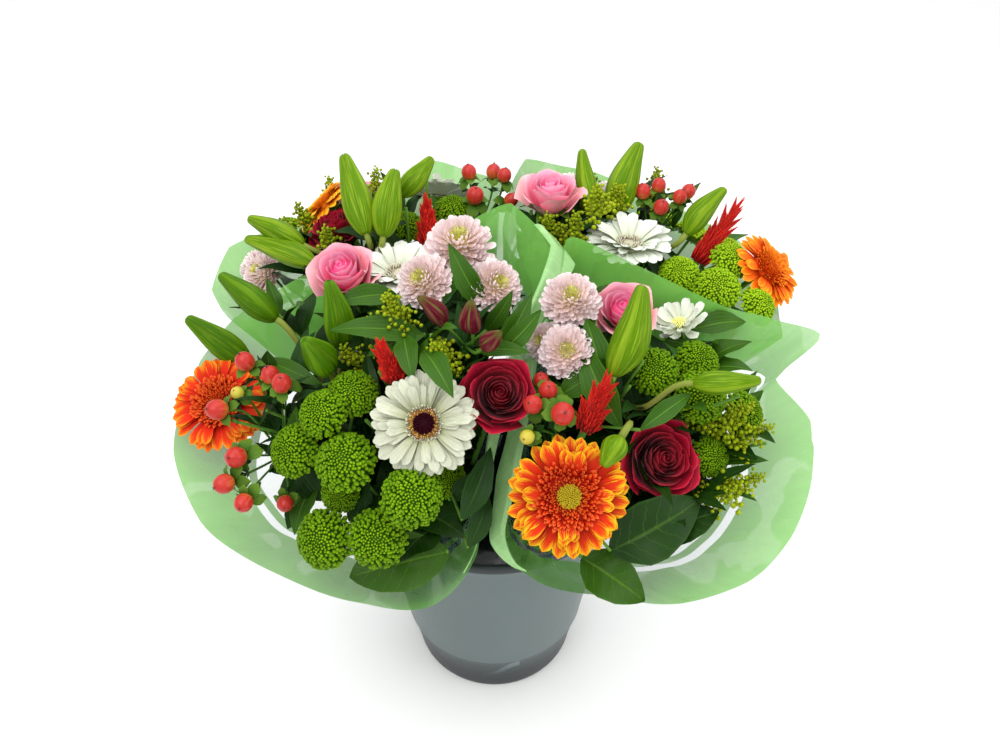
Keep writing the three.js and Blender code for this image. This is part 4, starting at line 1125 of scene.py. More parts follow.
bouquets["front_left"]["leaves"] = keyed(leafKeys, [
    ((-0.006, -0.034, 0.446), (-0.033, -0.018, 0.494), 0.019, (0, -1, 0.4)),
    ((-0.05, -0.07, 0.446), (-0.116, -0.082, 0.462), 0.02, ahead),
    ((-0.05, -0.071, 0.448), (-0.092, -0.085, 0.44), 0.018, ahead),
    ((-0.064, -0.079, 0.452), (-0.055, -0.12, 0.444), 0.018, ahead),
    ((-0.048, -0.098, 0.452), (-0.025, -0.149, 0.452), 0.019, (0, -0.4, 0.9)),
    ((-0.13, -0.077, 0.404), (-0.187, -0.046, 0.408), 0.015, ahead),
    ((-0.073, -0.036, 0.46), (-0.117, -0.053, 0.464), 0.018, ahead),
    ((0.006, -0.088, 0.444), (0.036, -0.075, 0.472), 0.016, (0, -1, 0.4)),
    ((-0.01, -0.08, 0.44), (0.027, -0.098, 0.452), 0.014, ahead),
    ((-0.004, -0.063, 0.446), (0.015, -0.063, 0.48), 0.014, (0, -1, 0.3)),
    ((0.004, -0.084, 0.44), (0.03, -0.062, 0.478), 0.016, (0, -1, 0.4)),
    ((-0.176, -0.046, 0.392), (-0.172, -0.062, 0.426), 0.018, (0, -1, 0.3)),
    ((-0.033, -0.163, 0.312), (-0.112, -0.169, 0.29), 0.043, ahead, "freshLeaf"),
    ((-0.019, -0.019, 0.395), (0.008, 0.004, 0.415), 0.021, (0.1, -0.6, 0.8), "deepLeaf"),
    ((-0.012, -0.015, 0.39), (-0.001, 0.009, 0.42), 0.018, (0.1, -0.6, 0.8), "deepLeaf"),
    ((-0.022, -0.156, 0.34), (-0.001, -0.118, 0.378), 0.021, (0.3, -0.6, 0.74), "deepLeaf"),
    ((-0.018, -0.161, 0.315), (-0.002, -0.131, 0.342), 0.018, (0.3, -0.6, 0.74), "deepLeaf"),
    ((-0.032, -0.136, 0.34), (-0.006, -0.124, 0.36), 0.017, (0.3, -0.6, 0.74), "deepLeaf"),
    ((-0.043, -0.146, 0.322), (-0.069, -0.175, 0.318), 0.031, (0, -0.3, 1)),
    ((-0.066, -0.128, 0.318), (-0.022, -0.158, 0.33), 0.036, (0, 0, 1), "broadLeaf", 0.1),
    ((-0.14, -0.104, 0.33), (-0.152, -0.148, 0.316), 0.02),
    ((-0.15, -0.09, 0.36), (-0.146, -0.104, 0.402), 0.018, (0, -1, 0.3)),
    ((-0.093, -0.132, 0.33), (-0.119, -0.117, 0.345), 0.026, ahead, "deepLeaf"),
    ((-0.11, -0.138, 0.318), (-0.089, -0.118, 0.335), 0.026, ahead, "deepLeaf"),
    ((-0.133, -0.122, 0.325), (-0.154, -0.104, 0.345), 0.022, ahead, "deepLeaf"),
    ((-0.142, -0.103, 0.33), (-0.169, -0.115, 0.325), 0.022, ahead, "deepLeaf"),
    ((-0.125, -0.109, 0.345), (-0.15, -0.097, 0.36), 0.022, ahead, "deepLeaf"),
    ((-0.149, -0.079, 0.358), (-0.175, -0.104, 0.36), 0.02, ahead, "deepLeaf"),
    ((-0.108, -0.112, 0.35), (-0.094, -0.148, 0.342), 0.022, ahead, "deepLeaf"),
    ((-0.148, -0.115, 0.318), (-0.159, -0.139, 0.312), 0.02, ahead, "deepLeaf"),
    ((-0.04, -0.16, 0.3), (-0.071, -0.149, 0.31), 0.03, ahead, "deepLeaf"),
])

bouquets["front_right"] = {
    "foot": (0.036, -0.034), "mouth": (0.054, -0.052), "spread": (0.12, -0.066), "crisp": -0.08,
    "cuff": (-1, 0.021, -0.035), "sheet": ((0.4, 0.285), 0.1106),
    "edge": [
        (0.256, -0.067, 0.36), (0.228, -0.046, 0.386), (0.267, -0.017, 0.41), (0.191, -0.01, 0.43),
        (0.128, 0.002, 0.455), (0.066, 0.026, 0.474), (0.058, 0.004, 0.474), (0.05, -0.022, 0.452),
        (0.036, -0.056, 0.418), (0.027, -0.092, 0.375), (0.016, -0.13, 0.338), (0.01, -0.15, 0.316),
        (0.02, -0.165, 0.298), (0.04, -0.171, 0.29), (0.083, -0.176, 0.28), (0.144, -0.181, 0.275),
        (0.196, -0.166, 0.284), (0.234, -0.138, 0.303), (0.253, -0.105, 0.33),
    ],
    "goldenrod": [
        ((0.156, -0.1, 0.368), (0.19, -0.104, 0.404)), ((0.168, -0.104, 0.36), (0.205, -0.114, 0.394)),
        ((0.153, -0.09, 0.37), (0.17, -0.094, 0.404)), ((0.16, -0.128, 0.33), (0.182, -0.136, 0.355)),
        ((0.168, -0.128, 0.335), (0.2, -0.133, 0.362)),
    ],
}
bouquets["front_right"]["flowers"] = {
    "orange_gerbera": flower("gerbera", (0.054, -0.168, 0.378), (0.03, -0.74, 0.67), 0.086),
    "red_rose": flower("rose", (0.127, -0.128, 0.376), (0.25, -0.62, 0.74), 0.056),
    "pink_rose": flower("rose", (0.101, -0.038, 0.45), (-0.1, -0.45, 0.88), 0.05),
    "lilac_daisies": spray("daisies", (0.052, -0.052, 0.385), [
        ((0.059, -0.047, 0.462), (0, -0.5, 0.85), 0.047),
        ((0.055, -0.082, 0.44), (-0.05, -0.7, 0.7), 0.042),
        ((0.04, -0.056, 0.43), (-0.5, -0.5, 0.6), 0.032),
    ]),
    "white_daisy": spray("daisies", (0.14, -0.038, 0.372), [
        ((0.148, -0.03, 0.428), (-0.3, -0.12, 0.9), 0.046),
    ]),
    "green_buttons": spray("buttons", (0.15, -0.066, 0.35), [
        ((0.121, -0.084, 0.424), (-0.1, -0.6, 0.8), 0.036),
        ((0.158, -0.066, 0.42), (0.2, -0.5, 0.85), 0.034),
        ((0.157, -0.094, 0.408), (0.15, -0.65, 0.75), 0.04),
        ((0.141, -0.082, 0.378), (0, -0.7, 0.7), 0.032), ((0.195, -0.088, 0.386), (0.5, -0.5, 0.7), 0.035),
        ((0.168, -0.112, 0.362), (0.3, -0.7, 0.6), 0.031),
    ]),
    "coral_berries": spray("berries", (0.048, -0.104, 0.378), [
        ((0.04, -0.117, 0.432), (0, -0.5, 0.85), 0.014), ((0.029, -0.13, 0.43), (-0.4, -0.6, 0.7), 0.014),
        ((0.049, -0.141, 0.431), (0.1, -0.7, 0.7), 0.017),
        ((0.025, -0.146, 0.414), (-0.4, -0.8, 0.4), 0.011),
        ((0.036, -0.098, 0.426), (-0.1, -0.3, 0.95), 0.012),
    ]),
    "red_plume": flower("plume", (0.069, -0.116, 0.396), (0.081, -0.13, 0.456), 0.028),
    "lily_buds": spray("lilies", (0.106, -0.072, 0.38), [
        ((0.088, -0.102, 0.434), (0.106, -0.076, 0.494), 0.028),
        ((0.145, -0.107, 0.43), (0.19, -0.116, 0.44), 0.018, (0.114, -0.106, 0.408)),
        ((0.09, -0.148, 0.416), (0.077, -0.163, 0.402), 0.019, (0.1, -0.118, 0.398)),
    ], "limeBud"),
}
bouquets["front_right"]["leaves"] = keyed(leafKeys, [
    ((0.088, -0.17, 0.322), (0.157, -0.143, 0.348), 0.046, (0, -0.7, 0.7)),
    ((0.068, -0.163, 0.306), (0.115, -0.188, 0.286), 0.038, ahead, "freshLeaf"),
    ((0.126, -0.15, 0.318), (0.172, -0.142, 0.334), 0.031, (0, -0.5, 0.9)),
    ((0.094, -0.123, 0.402), (0.065, -0.078, 0.446), 0.024, (-0.3, -0.8, 0.5)),
    ((0.082, -0.095, 0.424), (0.07, -0.061, 0.456), 0.02, (0, -0.9, 0.4)),
    ((0.106, -0.132, 0.408), (0.145, -0.109, 0.424), 0.014, ahead),
    ((0.16, -0.019, 0.415), (0.206, -0.014, 0.42), 0.02, (0, -0.5, 0.9)),
    ((0.139, -0.026, 0.41), (0.172, -0.034, 0.404), 0.018, (0, -0.5, 0.9)),
    ((0.05, -0.102, 0.415), (0.079, -0.093, 0.43), 0.02, ahead),
    ((0.078, -0.092, 0.392), (0.074, -0.078, 0.436), 0.014, (0, -1, 0.4)),
    ((0.108, -0.122, 0.322), (0.15, -0.158, 0.326), 0.04),
    ((0.16, -0.1, 0.33), (0.208, -0.118, 0.366), 0.02),
    ((0.16, -0.104, 0.322), (0.2, -0.138, 0.342), 0.018),
    ((0.168, -0.04, 0.392), (0.206, -0.036, 0.416), 0.022),
    ((0.164, -0.044, 0.39), (0.204, -0.058, 0.404), 0.02),
    ((0.052, -0.076, 0.39), (0.04, -0.092, 0.42), 0.018),
    ((0.096, -0.144, 0.318), (0.081, -0.127, 0.34), 0.024, ahead, "deepLeaf"),
])

bouquets["back_left"] = {
    "foot": (-0.036, 0.034), "mouth": (-0.054, 0.052), "spread": (-0.122, 0.118), "crisp": -1.0,
    "sheet": ((0.4, 0.29), 0.1131),
    "edge": [
        (-0.002, 0.116, 0.427), (0.004, 0.166, 0.458), (-0.058, 0.202, 0.462), (-0.12, 0.208, 0.428),
        (-0.182, 0.196, 0.402), (-0.225, 0.162, 0.406), (-0.25, 0.126, 0.41), (-0.262, 0.088, 0.386),
        (-0.24, 0.066, 0.364), (-0.196, 0.07, 0.376), (-0.15, 0.072, 0.392), (-0.1, 0.068, 0.404),
        (-0.058, 0.066, 0.414), (-0.022, 0.078, 0.428),
    ],
    "goldenrod": [
        ((-0.178, 0.094, 0.418), (-0.186, 0.088, 0.456)), ((-0.108, 0.118, 0.43), (-0.104, 0.122, 0.488)),
        ((-0.162, 0.111, 0.42), (-0.172, 0.1, 0.464)), ((-0.138, 0.074, 0.425), (-0.143, 0.062, 0.462)),
        ((-0.15, 0.158, 0.42), (-0.158, 0.172, 0.456)),
    ],
}
bouquets["back_left"]["flowers"] = {
    "orange_gerbera": flower("gerbera", (-0.155, 0.13, 0.452), (-0.66, 0.1, 0.75), 0.07),
    "red_rose": flower("rose", (-0.14, 0.092, 0.452), (-0.2, -0.1, 0.97), 0.048),
    "white_gerbera": flower("gerbera", (-0.053, 0.156, 0.446), (0.1, 0.7, 0.75), 0.066),
    "pink_rose": flower("rose", (-0.126, 0.158, 0.452), (-0.15, 0.4, 0.9), 0.052),
    "lilac_daisies": spray("daisies", (-0.19, 0.096, 0.36), [
        ((-0.211, 0.088, 0.402), (-0.5, -0.4, 0.75), 0.044),
        ((-0.223, 0.106, 0.399), (-0.8, 0, 0.6), 0.038),
    ]),
    "green_buttons": spray("buttons", (-0.076, 0.122, 0.385), [
        ((-0.036, 0.108, 0.458), (0.1, -0.2, 0.97), 0.036), ((-0.08, 0.104, 0.444), (0, -0.2, 0.97), 0.036),
    ]),
    "rear_buttons": spray("buttons", (-0.13, 0.152, 0.362), [
        ((-0.168, 0.17, 0.41), (-0.4, 0.6, 0.7), 0.04), ((-0.132, 0.18, 0.412), (0, 0.75, 0.65), 0.036),
        ((-0.202, 0.146, 0.416), (-0.6, 0.3, 0.7), 0.036),
    ]),
    "coral_berries": spray("berries", (-0.014, 0.122, 0.43), [
        ((-0.022, 0.132, 0.482), (-0.1, 0, 1), 0.014), ((-0.016, 0.102, 0.474), (0.1, -0.3, 0.95), 0.016),
        ((0.01, 0.126, 0.482), (0.2, 0, 0.97), 0.013), ((0.016, 0.118, 0.462), (0.6, -0.3, 0.7), 0.013),
        ((0, 0.146, 0.476), (0.1, 0.4, 0.9), 0.014),
    ]),
    "lily_buds": spray("lilies", (-0.114, 0.086, 0.404), [
        ((-0.104, 0.04, 0.47), (-0.125, 0.092, 0.517), 0.027, (-0.106, 0.064, 0.446)),
        ((-0.09, 0.036, 0.47), (-0.081, 0.076, 0.511), 0.026, (-0.098, 0.064, 0.446)),
        ((-0.08, 0.09, 0.48), (-0.052, 0.106, 0.508), 0.021, (-0.098, 0.084, 0.446)),
        ((-0.164, 0.064, 0.446), (-0.213, 0.082, 0.463), 0.022, (-0.136, 0.07, 0.428)),
        ((-0.152, 0.046, 0.438), (-0.216, 0.072, 0.448), 0.023, (-0.132, 0.062, 0.424)),
    ], "limeBud"),
    "red_plume": flower("plume", (-0.056, 0.08, 0.436), (-0.058, 0.086, 0.484), 0.03),
}
bouquets["back_left"]["leaves"] = keyed(leafKeys, [
    ((-0.042, 0.09, 0.42), (-0.022, 0.074, 0.452), 0.016), ((-0.15, 0.1, 0.4), (-0.186, 0.066, 0.43), 0.02),
    ((-0.088, 0.15, 0.424), (-0.108, 0.178, 0.462), 0.018, (0, 1, 0.3)),
])

bouquets["back_right"] = {
    "foot": (0.036, 0.034), "mouth": (0.054, 0.052), "spread": (0.132, 0.106), "crisp": -1.0,
    "sheet": ((0.4, 0.3), 0.1165),
    "edge": [
        (0.262, 0.092, 0.386), (0.238, 0.15, 0.404), (0.172, 0.188, 0.425), (0.1, 0.202, 0.45),
        (0.032, 0.188, 0.47), (0.016, 0.15, 0.456), (0.012, 0.108, 0.44), (0.026, 0.072, 0.424),
        (0.07, 0.05, 0.414), (0.12, 0.036, 0.404), (0.17, 0.018, 0.392), (0.216, 0.008, 0.38),
        (0.256, 0.034, 0.372),
    ],
    "goldenrod": [
        ((0.068, 0.072, 0.425), (0.07, 0.057, 0.478)), ((0.15, 0.134, 0.43), (0.149, 0.14, 0.48)),
        ((0.085, 0.078, 0.45), (0.087, 0.052, 0.505)), ((0.059, 0.08, 0.435), (0.046, 0.062, 0.474)),
        ((0.108, 0.112, 0.446), (0.109, 0.089, 0.488)), ((0.096, 0.148, 0.425), (0.094, 0.162, 0.462)),
    ],
}
bouquets["back_right"]["flowers"] = {
    "pink_rose": flower("rose", (0.05, 0.092, 0.486), (0, -0.12, 0.98), 0.056),
    "white_gerbera": flower("gerbera", (0.118, 0.067, 0.444), (0.03, -0.04, 1), 0.074),
    "orange_gerbera": flower("gerbera", (0.238, 0.05, 0.43), (0.52, -0.36, 0.76), 0.07),
    "red_rose": flower("rose", (0.2, 0.038, 0.384), (0.3, -0.45, 0.8), 0.036),
    "lilac_daisies": spray("daisies", (0.084, 0.14, 0.385), [
        ((0.07, 0.168, 0.446), (-0.1, 0.6, 0.8), 0.048), ((0.112, 0.17, 0.438), (0.25, 0.6, 0.75), 0.044),
    ]),
    "green_buttons": spray("buttons", (0.172, 0.06, 0.372), [
        ((0.188, 0.022, 0.43), (-0.1, -0.5, 0.85), 0.039),
        ((0.206, 0.054, 0.438), (0.25, -0.3, 0.9), 0.036),
        ((0.225, 0.016, 0.416), (0.5, -0.45, 0.7), 0.034, (0.196, 0.042, 0.404)),
        ((0.158, 0.038, 0.434), (-0.15, -0.5, 0.85), 0.034),
    ]),
    "rear_buttons": spray("buttons", (0.16, 0.132, 0.366), [
        ((0.158, 0.166, 0.42), (0.2, 0.6, 0.75), 0.04), ((0.192, 0.142, 0.414), (0.6, 0.4, 0.7), 0.038),
        ((0.222, 0.112, 0.412), (0.7, 0.2, 0.7), 0.036),
    ]),
    "coral_berries": spray("berries", (0.142, 0.11, 0.426), [
        ((0.133, 0.11, 0.474), (-0.2, 0, 0.97), 0.014), ((0.147, 0.114, 0.478), (0.1, 0.1, 0.98), 0.013),
        ((0.147, 0.092, 0.468), (0.1, -0.4, 0.9), 0.014), ((0.164, 0.1, 0.474), (0.3, -0.1, 0.95), 0.013),
        ((0.172, 0.106, 0.476), (0.4, 0.1, 0.9), 0.013),
    ]),
    "lily_buds": spray("lilies", (0.112, 0.118, 0.412), [
        ((0.108, 0.104, 0.454), (0.13, 0.138, 0.508), 0.029),
        ((0.088, 0.092, 0.46), (0.078, 0.128, 0.506), 0.021),
        ((0.166, 0.066, 0.456), (0.198, 0.084, 0.49), 0.022, (0.146, 0.082, 0.43)),
    ], "limeBud"),
    "red_plume": flower("plume", (0.182, 0.078, 0.42), (0.219, 0.096, 0.474), 0.026),
}
bouquets["back_right"]["leaves"] = keyed(leafKeys, [
    ((0.128, 0.096, 0.43), (0.15, 0.084, 0.462), 0.018),
    ((0.168, 0.122, 0.43), (0.186, 0.13, 0.474), 0.016), ((0.06, 0.13, 0.41), (0.036, 0.172, 0.464), 0.022),
    ((0.196, 0.112, 0.392), (0.24, 0.134, 0.422), 0.022),
    ((0.05, 0.126, 0.432), (0.02, 0.134, 0.464), 0.018),
])


# Heads

# A rose: petals wound from a tight heart outwards, the outer ones rolled back to a point
roseBook = {
    "redRose": {"petals": 30, "paint": "redRose", "open": 1.0, "wide": 0.8, "top": 0.0, "ruffle": 1.6},
    "pinkRose": {"petals": 19, "paint": "pinkRose", "open": 0.9, "wide": 0.76, "top": 0.1, "ruffle": 1.0},
}


def rosePetal(share, number, recipe, draw):
    u, v = np.meshgrid(np.linspace(-1, 1, 13), np.linspace(0, 1, 13))
    spin = number * goldenTurn + draw.uniform(-0.22, 0.22)
    angle = spin + u * (1.6 - 0.75 * share)
    rim = 0.06 + recipe["wide"] * share**0.95 * draw.uniform(0.94, 1.06)
    top = 0.26 + 0.1 * math.sin(math.pi * share) - (0.34 - recipe["top"]) * share**2
    top += draw.uniform(-0.025, 0.025)
    rise = np.sin(v * math.pi / 2)
    point = np.exp(-((u / 0.3) ** 2)) * share
    roll = np.clip((v - 0.55) / 0.45, 0, 1) ** 2 * recipe["open"] * share**1.4
    radius = rim * (0.3 + 0.7 * rise) * (1 + 0.14 * np.sin(math.pi * v)) * (1 + (0.15 - 0.07 * share) * u)
    radius = radius + roll * (0.26 + 0.16 * point) - 0.05 * (1 - share) * np.clip(v - 0.7, 0, 1)
    scallop = (0.1 + 0.2 * share) * np.abs(u) ** 2.4 * v
    waves = 0.04 * np.sin(4.3 * u + 2.1 * number) + 0.022 * np.sin(10.3 * u + 3.7 * number)
    ruffle = waves * v**3 * (0.4 + share) * recipe["ruffle"]
    height = -0.95 + (top + 0.95) * v - scallop - roll * (0.13 + 0.08 * point) + 0.06 * point * v**4
    points = np.stack([radius * np.cos(angle), radius * np.sin(angle), height + ruffle], axis=-1)
    marks = {"along": v, "across": u, "layer": share, "tint": draw.uniform(0, 1)}
    return gridShape(points, marks=marks)


def roseHead(kind, seed):
    recipe = roseBook[kind]
    draw = np.random.default_rng(seed)
    count = recipe["petals"]
    petals = [rosePetal(k / (count - 1), k, recipe, draw) for k in range(count)]
    heart = lathe([(0, -0.95), (0.3, -0.8), (0.42, -0.4), (0.34, -0.05), (0.12, 0.1), (0, 0.12)], 16)
    hip = lathe([(0, -1.12), (0.14, -1.08), (0.24, -0.98), (0.2, -0.84), (0.06, -0.8)], 10)
    collar = growHead("sepals", seed).lifted(-0.92).scaled((0.8, 0.8, 1))
    petals.append(heart.marked(along=0.3))
    return joined([*(p.painted(recipe["paint"]) for p in petals), hip.painted("sepal"), collar])


# A closed bud of three tepals; the layer mark is 1 on a tepal and falls to 0 in the groove between two
budForm = {
    "t": [0, 0.02, 0.05, 0.1, 0.17, 0.25, 0.35, 0.46, 0.57, 0.67, 0.76, 0.84, 0.9, 0.95, 0.98, 1.0],
    "wide": [0.3, 0.42, 0.54, 0.69, 0.84, 0.95, 1.0, 0.97, 0.88, 0.76, 0.64, 0.54, 0.46, 0.39, 0.31, 0.15],
    "sides": 42,
    "groove": 0.1,
    "depth": 0.22,
}


def budShape(start, end, girth, paint, draw):
    along = Vector(end) - Vector(start)
    sides = budForm["sides"]
    t = np.array(budForm["t"])[:, None]
    wide = np.array(budForm["wide"])[:, None]
    angle = evenAngles(sides)
    lobe = np.abs(np.cos(1.5 * angle))
    groove = np.exp(-((lobe / budForm["groove"]) ** 2))
    rib = np.exp(-(((1 - lobe) / 0.06) ** 2))
    deep = np.interp(t, [0, 0.12, 0.8, 1], [0.3, 1, 1, 1.6])
    swell = 1 - budForm["depth"] * groove * deep + 0.05 * (lobe - 0.5) + 0.07 * rib
    radius = girth / 2 / 1.06 * wide * swell
    bend = draw.uniform(0.02, 0.06) * along.length * np.sin(math.pi * t)
    notch = 0.035 * groove * np.clip((t - 0.9) / 0.1, 0, 1) ** 2
    height = (t - notch) * along.length + 0 * angle
    points = np.stack([radius * np.cos(angle) + bend, radius * np.sin(angle), height], axis=-1)
    dip = 0.6 * np.exp(-((lobe / (2.4 * budForm["groove"])) ** 2)) * np.clip(0.35 + t, 0, 1)
    layer = 0.6 - dip + 0.4 * lobe**6
    marks = {"along": t, "across": angle / cycle, "layer": layer, "tint": draw.uniform(0, 1)}
    body = capped(gridShape(points, loop=True, marks=marks), sides)
    return body.painted(paint).moved(frameAt(start, along, draw.uniform(*anySpin)))


berryForm = [
    (0, -1.0), (0.34, -0.96), (0.66, -0.78), (0.9, -0.42), (0.98, 0.0), (0.92, 0.42), (0.7, 0.8),
    (0.4, 1.02), (0.18, 1.1), (0, 1.12),
]
berryStyle = [(0, 1.08), (0.07, 1.18), (0.15, 1.26)]


def berryShape(paint):
    body = lathe(berryForm, 16, lambda angle, t: 1 + 0.025 * np.cos(3 * angle) * t)
    styles = []
    for turn in (0.3, 2.4, 4.5):
        path = [(out * math.cos(turn), out * math.sin(turn), z) for out, z in berryStyle]
        styles.append(tube(path, [0.07, 0.05, 0.03], 4).painted("berryTip"))
    collar = growHead("berryLeaves", 2).lifted(-0.96)
    return joined([body.painted(paint), *styles, collar.scaled(0.96)])


def placed(shape, head, draw):
    place = frameAt(head["at"], head["face"], draw.uniform(*anySpin))
    return shape.scaled(head["across"] / 2).shifted(draw.uniform(0, 1)).moved(place)


def stalk(path, thick, count=14, sides=7, paint="stemGreen"):
    points = evenPath(path, count)
    swell = 1 + 0.25 * np.linspace(0, 1, count) ** 6
    return tube(points, thick * swell, sides).marked(tint=abs(path[-1][0] * 37) % 1).painted(paint)


def stalkEnd(head, sunk):  # where a head's stalk ends in it
    return np.array(head["at"]) - np.array(unit(head["face"])) * sunk * head["across"]


# By kind: how deep a stalk ends in its head, as a share of the head's width, and its radius
sunkBook = {"gerbera": 0.12, "rose": 0.45, "daisies": 0.12, "buttons": 0.12, "berries": 0.5}
stalkRadius = {"daisies": 0.0012, "buttons": 0.0013, "berries": 0.0009, "lilies": 0.0023, "buds": 0.0013}
straightStalk = {"bud": 0.012, "head": 0.014}  # a stalk's straight end under a bud or a head


def sprayOf(spec, makeHead):
    kind = spec["kind"]
    parts = []
    for number, head in enumerate(spec["heads"]):
        parts.append(makeHead(head, number))
        if "from" in head:
            along = unit(np.subtract(head["to"], head["from"]))
            end = np.array(head["from"]) + along * 0.002
            under = end - along * straightStalk["bud"]
        else:
            end = stalkEnd(head, sunkBook[kind])
            under = end - unit(head["face"]) * straightStalk["head"]
        path = [spec["fork"], head["via"], under, end] if "via" in head else [spec["fork"], under, end]
        paint = "stalkBrown" if kind == "lilies" else "stemGreen"
        parts.append(stalk(path, stalkRadius[kind], 12, 6, paint))
    return parts


def daisySpray(spec, draw):
    kind = "whiteDaisy" if len(spec["heads"]) == 1 else "lilacDaisy"
    make = lambda head, n: placed(growHead(kind, n), head, draw)
    return sprayOf(spec, make)


def buttonSpray(spec, draw, kind="greenButton"):
    make = lambda head, n: placed(growHead(kind, n), head, draw)
    parts = sprayOf(spec, make)
    for head in spec["heads"]:
        cup = growHead("sepals", 1).scaled(0.62).lifted(-0.3)
        parts.append(placed(cup, head, draw))
    return parts


def berrySpray(spec, draw):
    ripe, young = (berryShape(paint) for paint in berryBook)
    make = lambda head, n: placed(young if head["across"] < 0.0115 else ripe, head, draw)
    parts = sprayOf(spec, make)
    for head in spec["heads"]:  # a pair of small leaves below each berry
        foot = stalkEnd(head, 1.3)
        for side in (-1, 1):
            face = Vector(head["face"]).normalized()
            out = face.orthogonal().normalized() * side
            tip = Vector(foot) + out * 0.011 + face * 0.004
            # The small leaves take the deepLeaf paint: painted shade under the berries
            parts.append(leafShape(foot, tip, 0.0075, face, 0.1, "deepLeaf", draw))
    return parts


def budSpray(spec, draw):
    make = lambda head, n: budShape(head["from"], head["to"], head["girth"], spec["paint"], draw)
    return sprayOf(spec, make)


plumeForm = {
    "side": 12, "wide": 0.8, "first": 0.02, "step": 0.066, "lean": 0.4, "size": 0.52, "shrink": 0.024,
}


def plumeHead(spec, draw):  # a flame of fine spikes with smaller flames that rise along its sides
    along = Vector(spec["to"]) - Vector(spec["from"])
    across = spec["girth"] * plumeForm["wide"]
    place = frameAt(spec["from"], along)
    parts = [growHead("plume", 0).scaled((across, across, along.length)).moved(place)]
    for n in range(plumeForm["side"]):
        up = (plumeForm["first"] + plumeForm["step"] * n) * along.length
        turn = n * goldenTurn + draw.uniform(-0.3, 0.3)
        lean = Matrix.Rotation(plumeForm["lean"] + draw.uniform(-0.1, 0.1), 4, "Y")
        size = plumeForm["size"] - plumeForm["shrink"] * n
        wide = across * size * 1.2
        small = growHead("plume", 1 + n % 2).scaled((wide, wide, along.length * size))
        spin = Matrix.Rotation(turn, 4, "Z") @ lean
        parts.append(small.moved(place @ Matrix.Translation((0, 0, up)) @ spin))
    return parts


def gerberaHead(kind, spec, draw, number):
    head = placed(growHead(kind, number, 2), spec, draw)
    cup = lathe([(0, -0.3), (0.12, -0.27), (0.24, -0.14), (0.3, -0.05), (0.26, -0.03)], 18).painted("sepal")
    bracts = growHead("sepals", 0).scaled(0.42).lifted(-0.14)
    under = joined([cup, bracts, bracts.moved(Matrix.Rotation(0.6, 4, "Z"))])
    return [head, placed(under, spec, draw)]


# One flower node's shapes, by its kind and name
def bloomParts(side, name, spec, number):
    draw = np.random.default_rng(500 + number)
    kind = spec["kind"]
    if kind == "gerbera":
        styles = {"front_left": "plainGerbera", "back_left": "amberGerbera", "back_right": "mellowGerbera"}
        style = styles.get(side, "orangeGerbera")
        if "white" in name:
            style = "whiteGerbera" if name == "white_gerbera" and side == "front_left" else "cupGerbera"
        return gerberaHead(style, spec, draw, number)
    if kind == "buttons" and side == "back_right":
        return buttonSpray(spec, draw, "litButton")
    if kind == "rose":
        return [placed(roseHead("redRose" if "red" in name else "pinkRose", 900 + number), spec, draw)]
    sprays = {"daisies": daisySpray, "buttons": buttonSpray, "berries": berrySpray, "plume": plumeHead}
    return sprays.get(kind, budSpray)(spec, draw)


# Leaves, stems and goldenrod

leafForms = {
    "slimLeaf": {
        "half": [(0, 0.12), (0.12, 0.5), (0.32, 0.95), (0.5, 1.0), (0.75, 0.68), (0.92, 0.26), (1, 0.02)],
        "fold": 0.3,
    },
    "broadLeaf": {
        "half": [(0, 0.14), (0.08, 0.55), (0.25, 0.95), (0.42, 1.0), (0.68, 0.8), (0.88, 0.4), (1, 0.03)],
        "fold": 0.22,
    },
}


# A leaf from its base to its tip, arched, folded along its rib and waved at its edge
def leafShape(start, end, width, up, droop, paint, draw):
    form = "broadLeaf" if paint in ("broadLeaf", "freshLeaf") else "slimLeaf"
    start, end = np.array(start, float), np.array(end, float)
    along = end - start
    length = np.linalg.norm(along)
    side = unit(np.cross(along, up))
    lift = unit(np.cross(side, along))
    t, u = np.meshgrid(np.linspace(0, 1, 13), np.linspace(-1, 1, 7), indexing="ij")
    stations, widths = zip(*leafForms[form]["half"])
    half = np.interp(t, stations, widths) * width / 2
    twist = draw.uniform(-0.35, 0.35) * t
    off = np.abs(u)
    wave = draw.uniform(0.03, 0.07) * width * np.sin(t * draw.uniform(9, 14) + draw.uniform(0, 6)) * off
    rise = 4 * droop * length * t * (1 - t) - 0.12 * length * t**3 * draw.uniform(0, 1)
    raised = rise + leafForms[form]["fold"] * half * off + wave + twist * half * u
    points = start + t[..., None] * along + (half * u)[..., None] * side + raised[..., None] * lift
    marks = {"along": t, "across": u, "tint": draw.uniform(0, 1)}
    return gridShape(points, marks=marks).painted(paint)


stems = {
    "radius": 0.0026, "fan": 1.9, "straight": 0.02, "bundle": 0.0168, "low": 0.172, "high": 0.196,
    "flower": 0.0023, "goldenrod": 0.0015, "leaf": 0.0011, "twig": 0.0012,
}
mouthHeight = 0.248


def spacedApart(spots, least, within):
    for _ in range(80):
        for a in spots:
            for b in spots:
                gap = (b - a).length
                if a is b or gap >= least:
                    continue
                push = (b - a).normalized() * (least - gap) / 2
                a -= push
                b += push
        for a in spots:
            if a.length > within:
                a *= within / a.length
    return spots


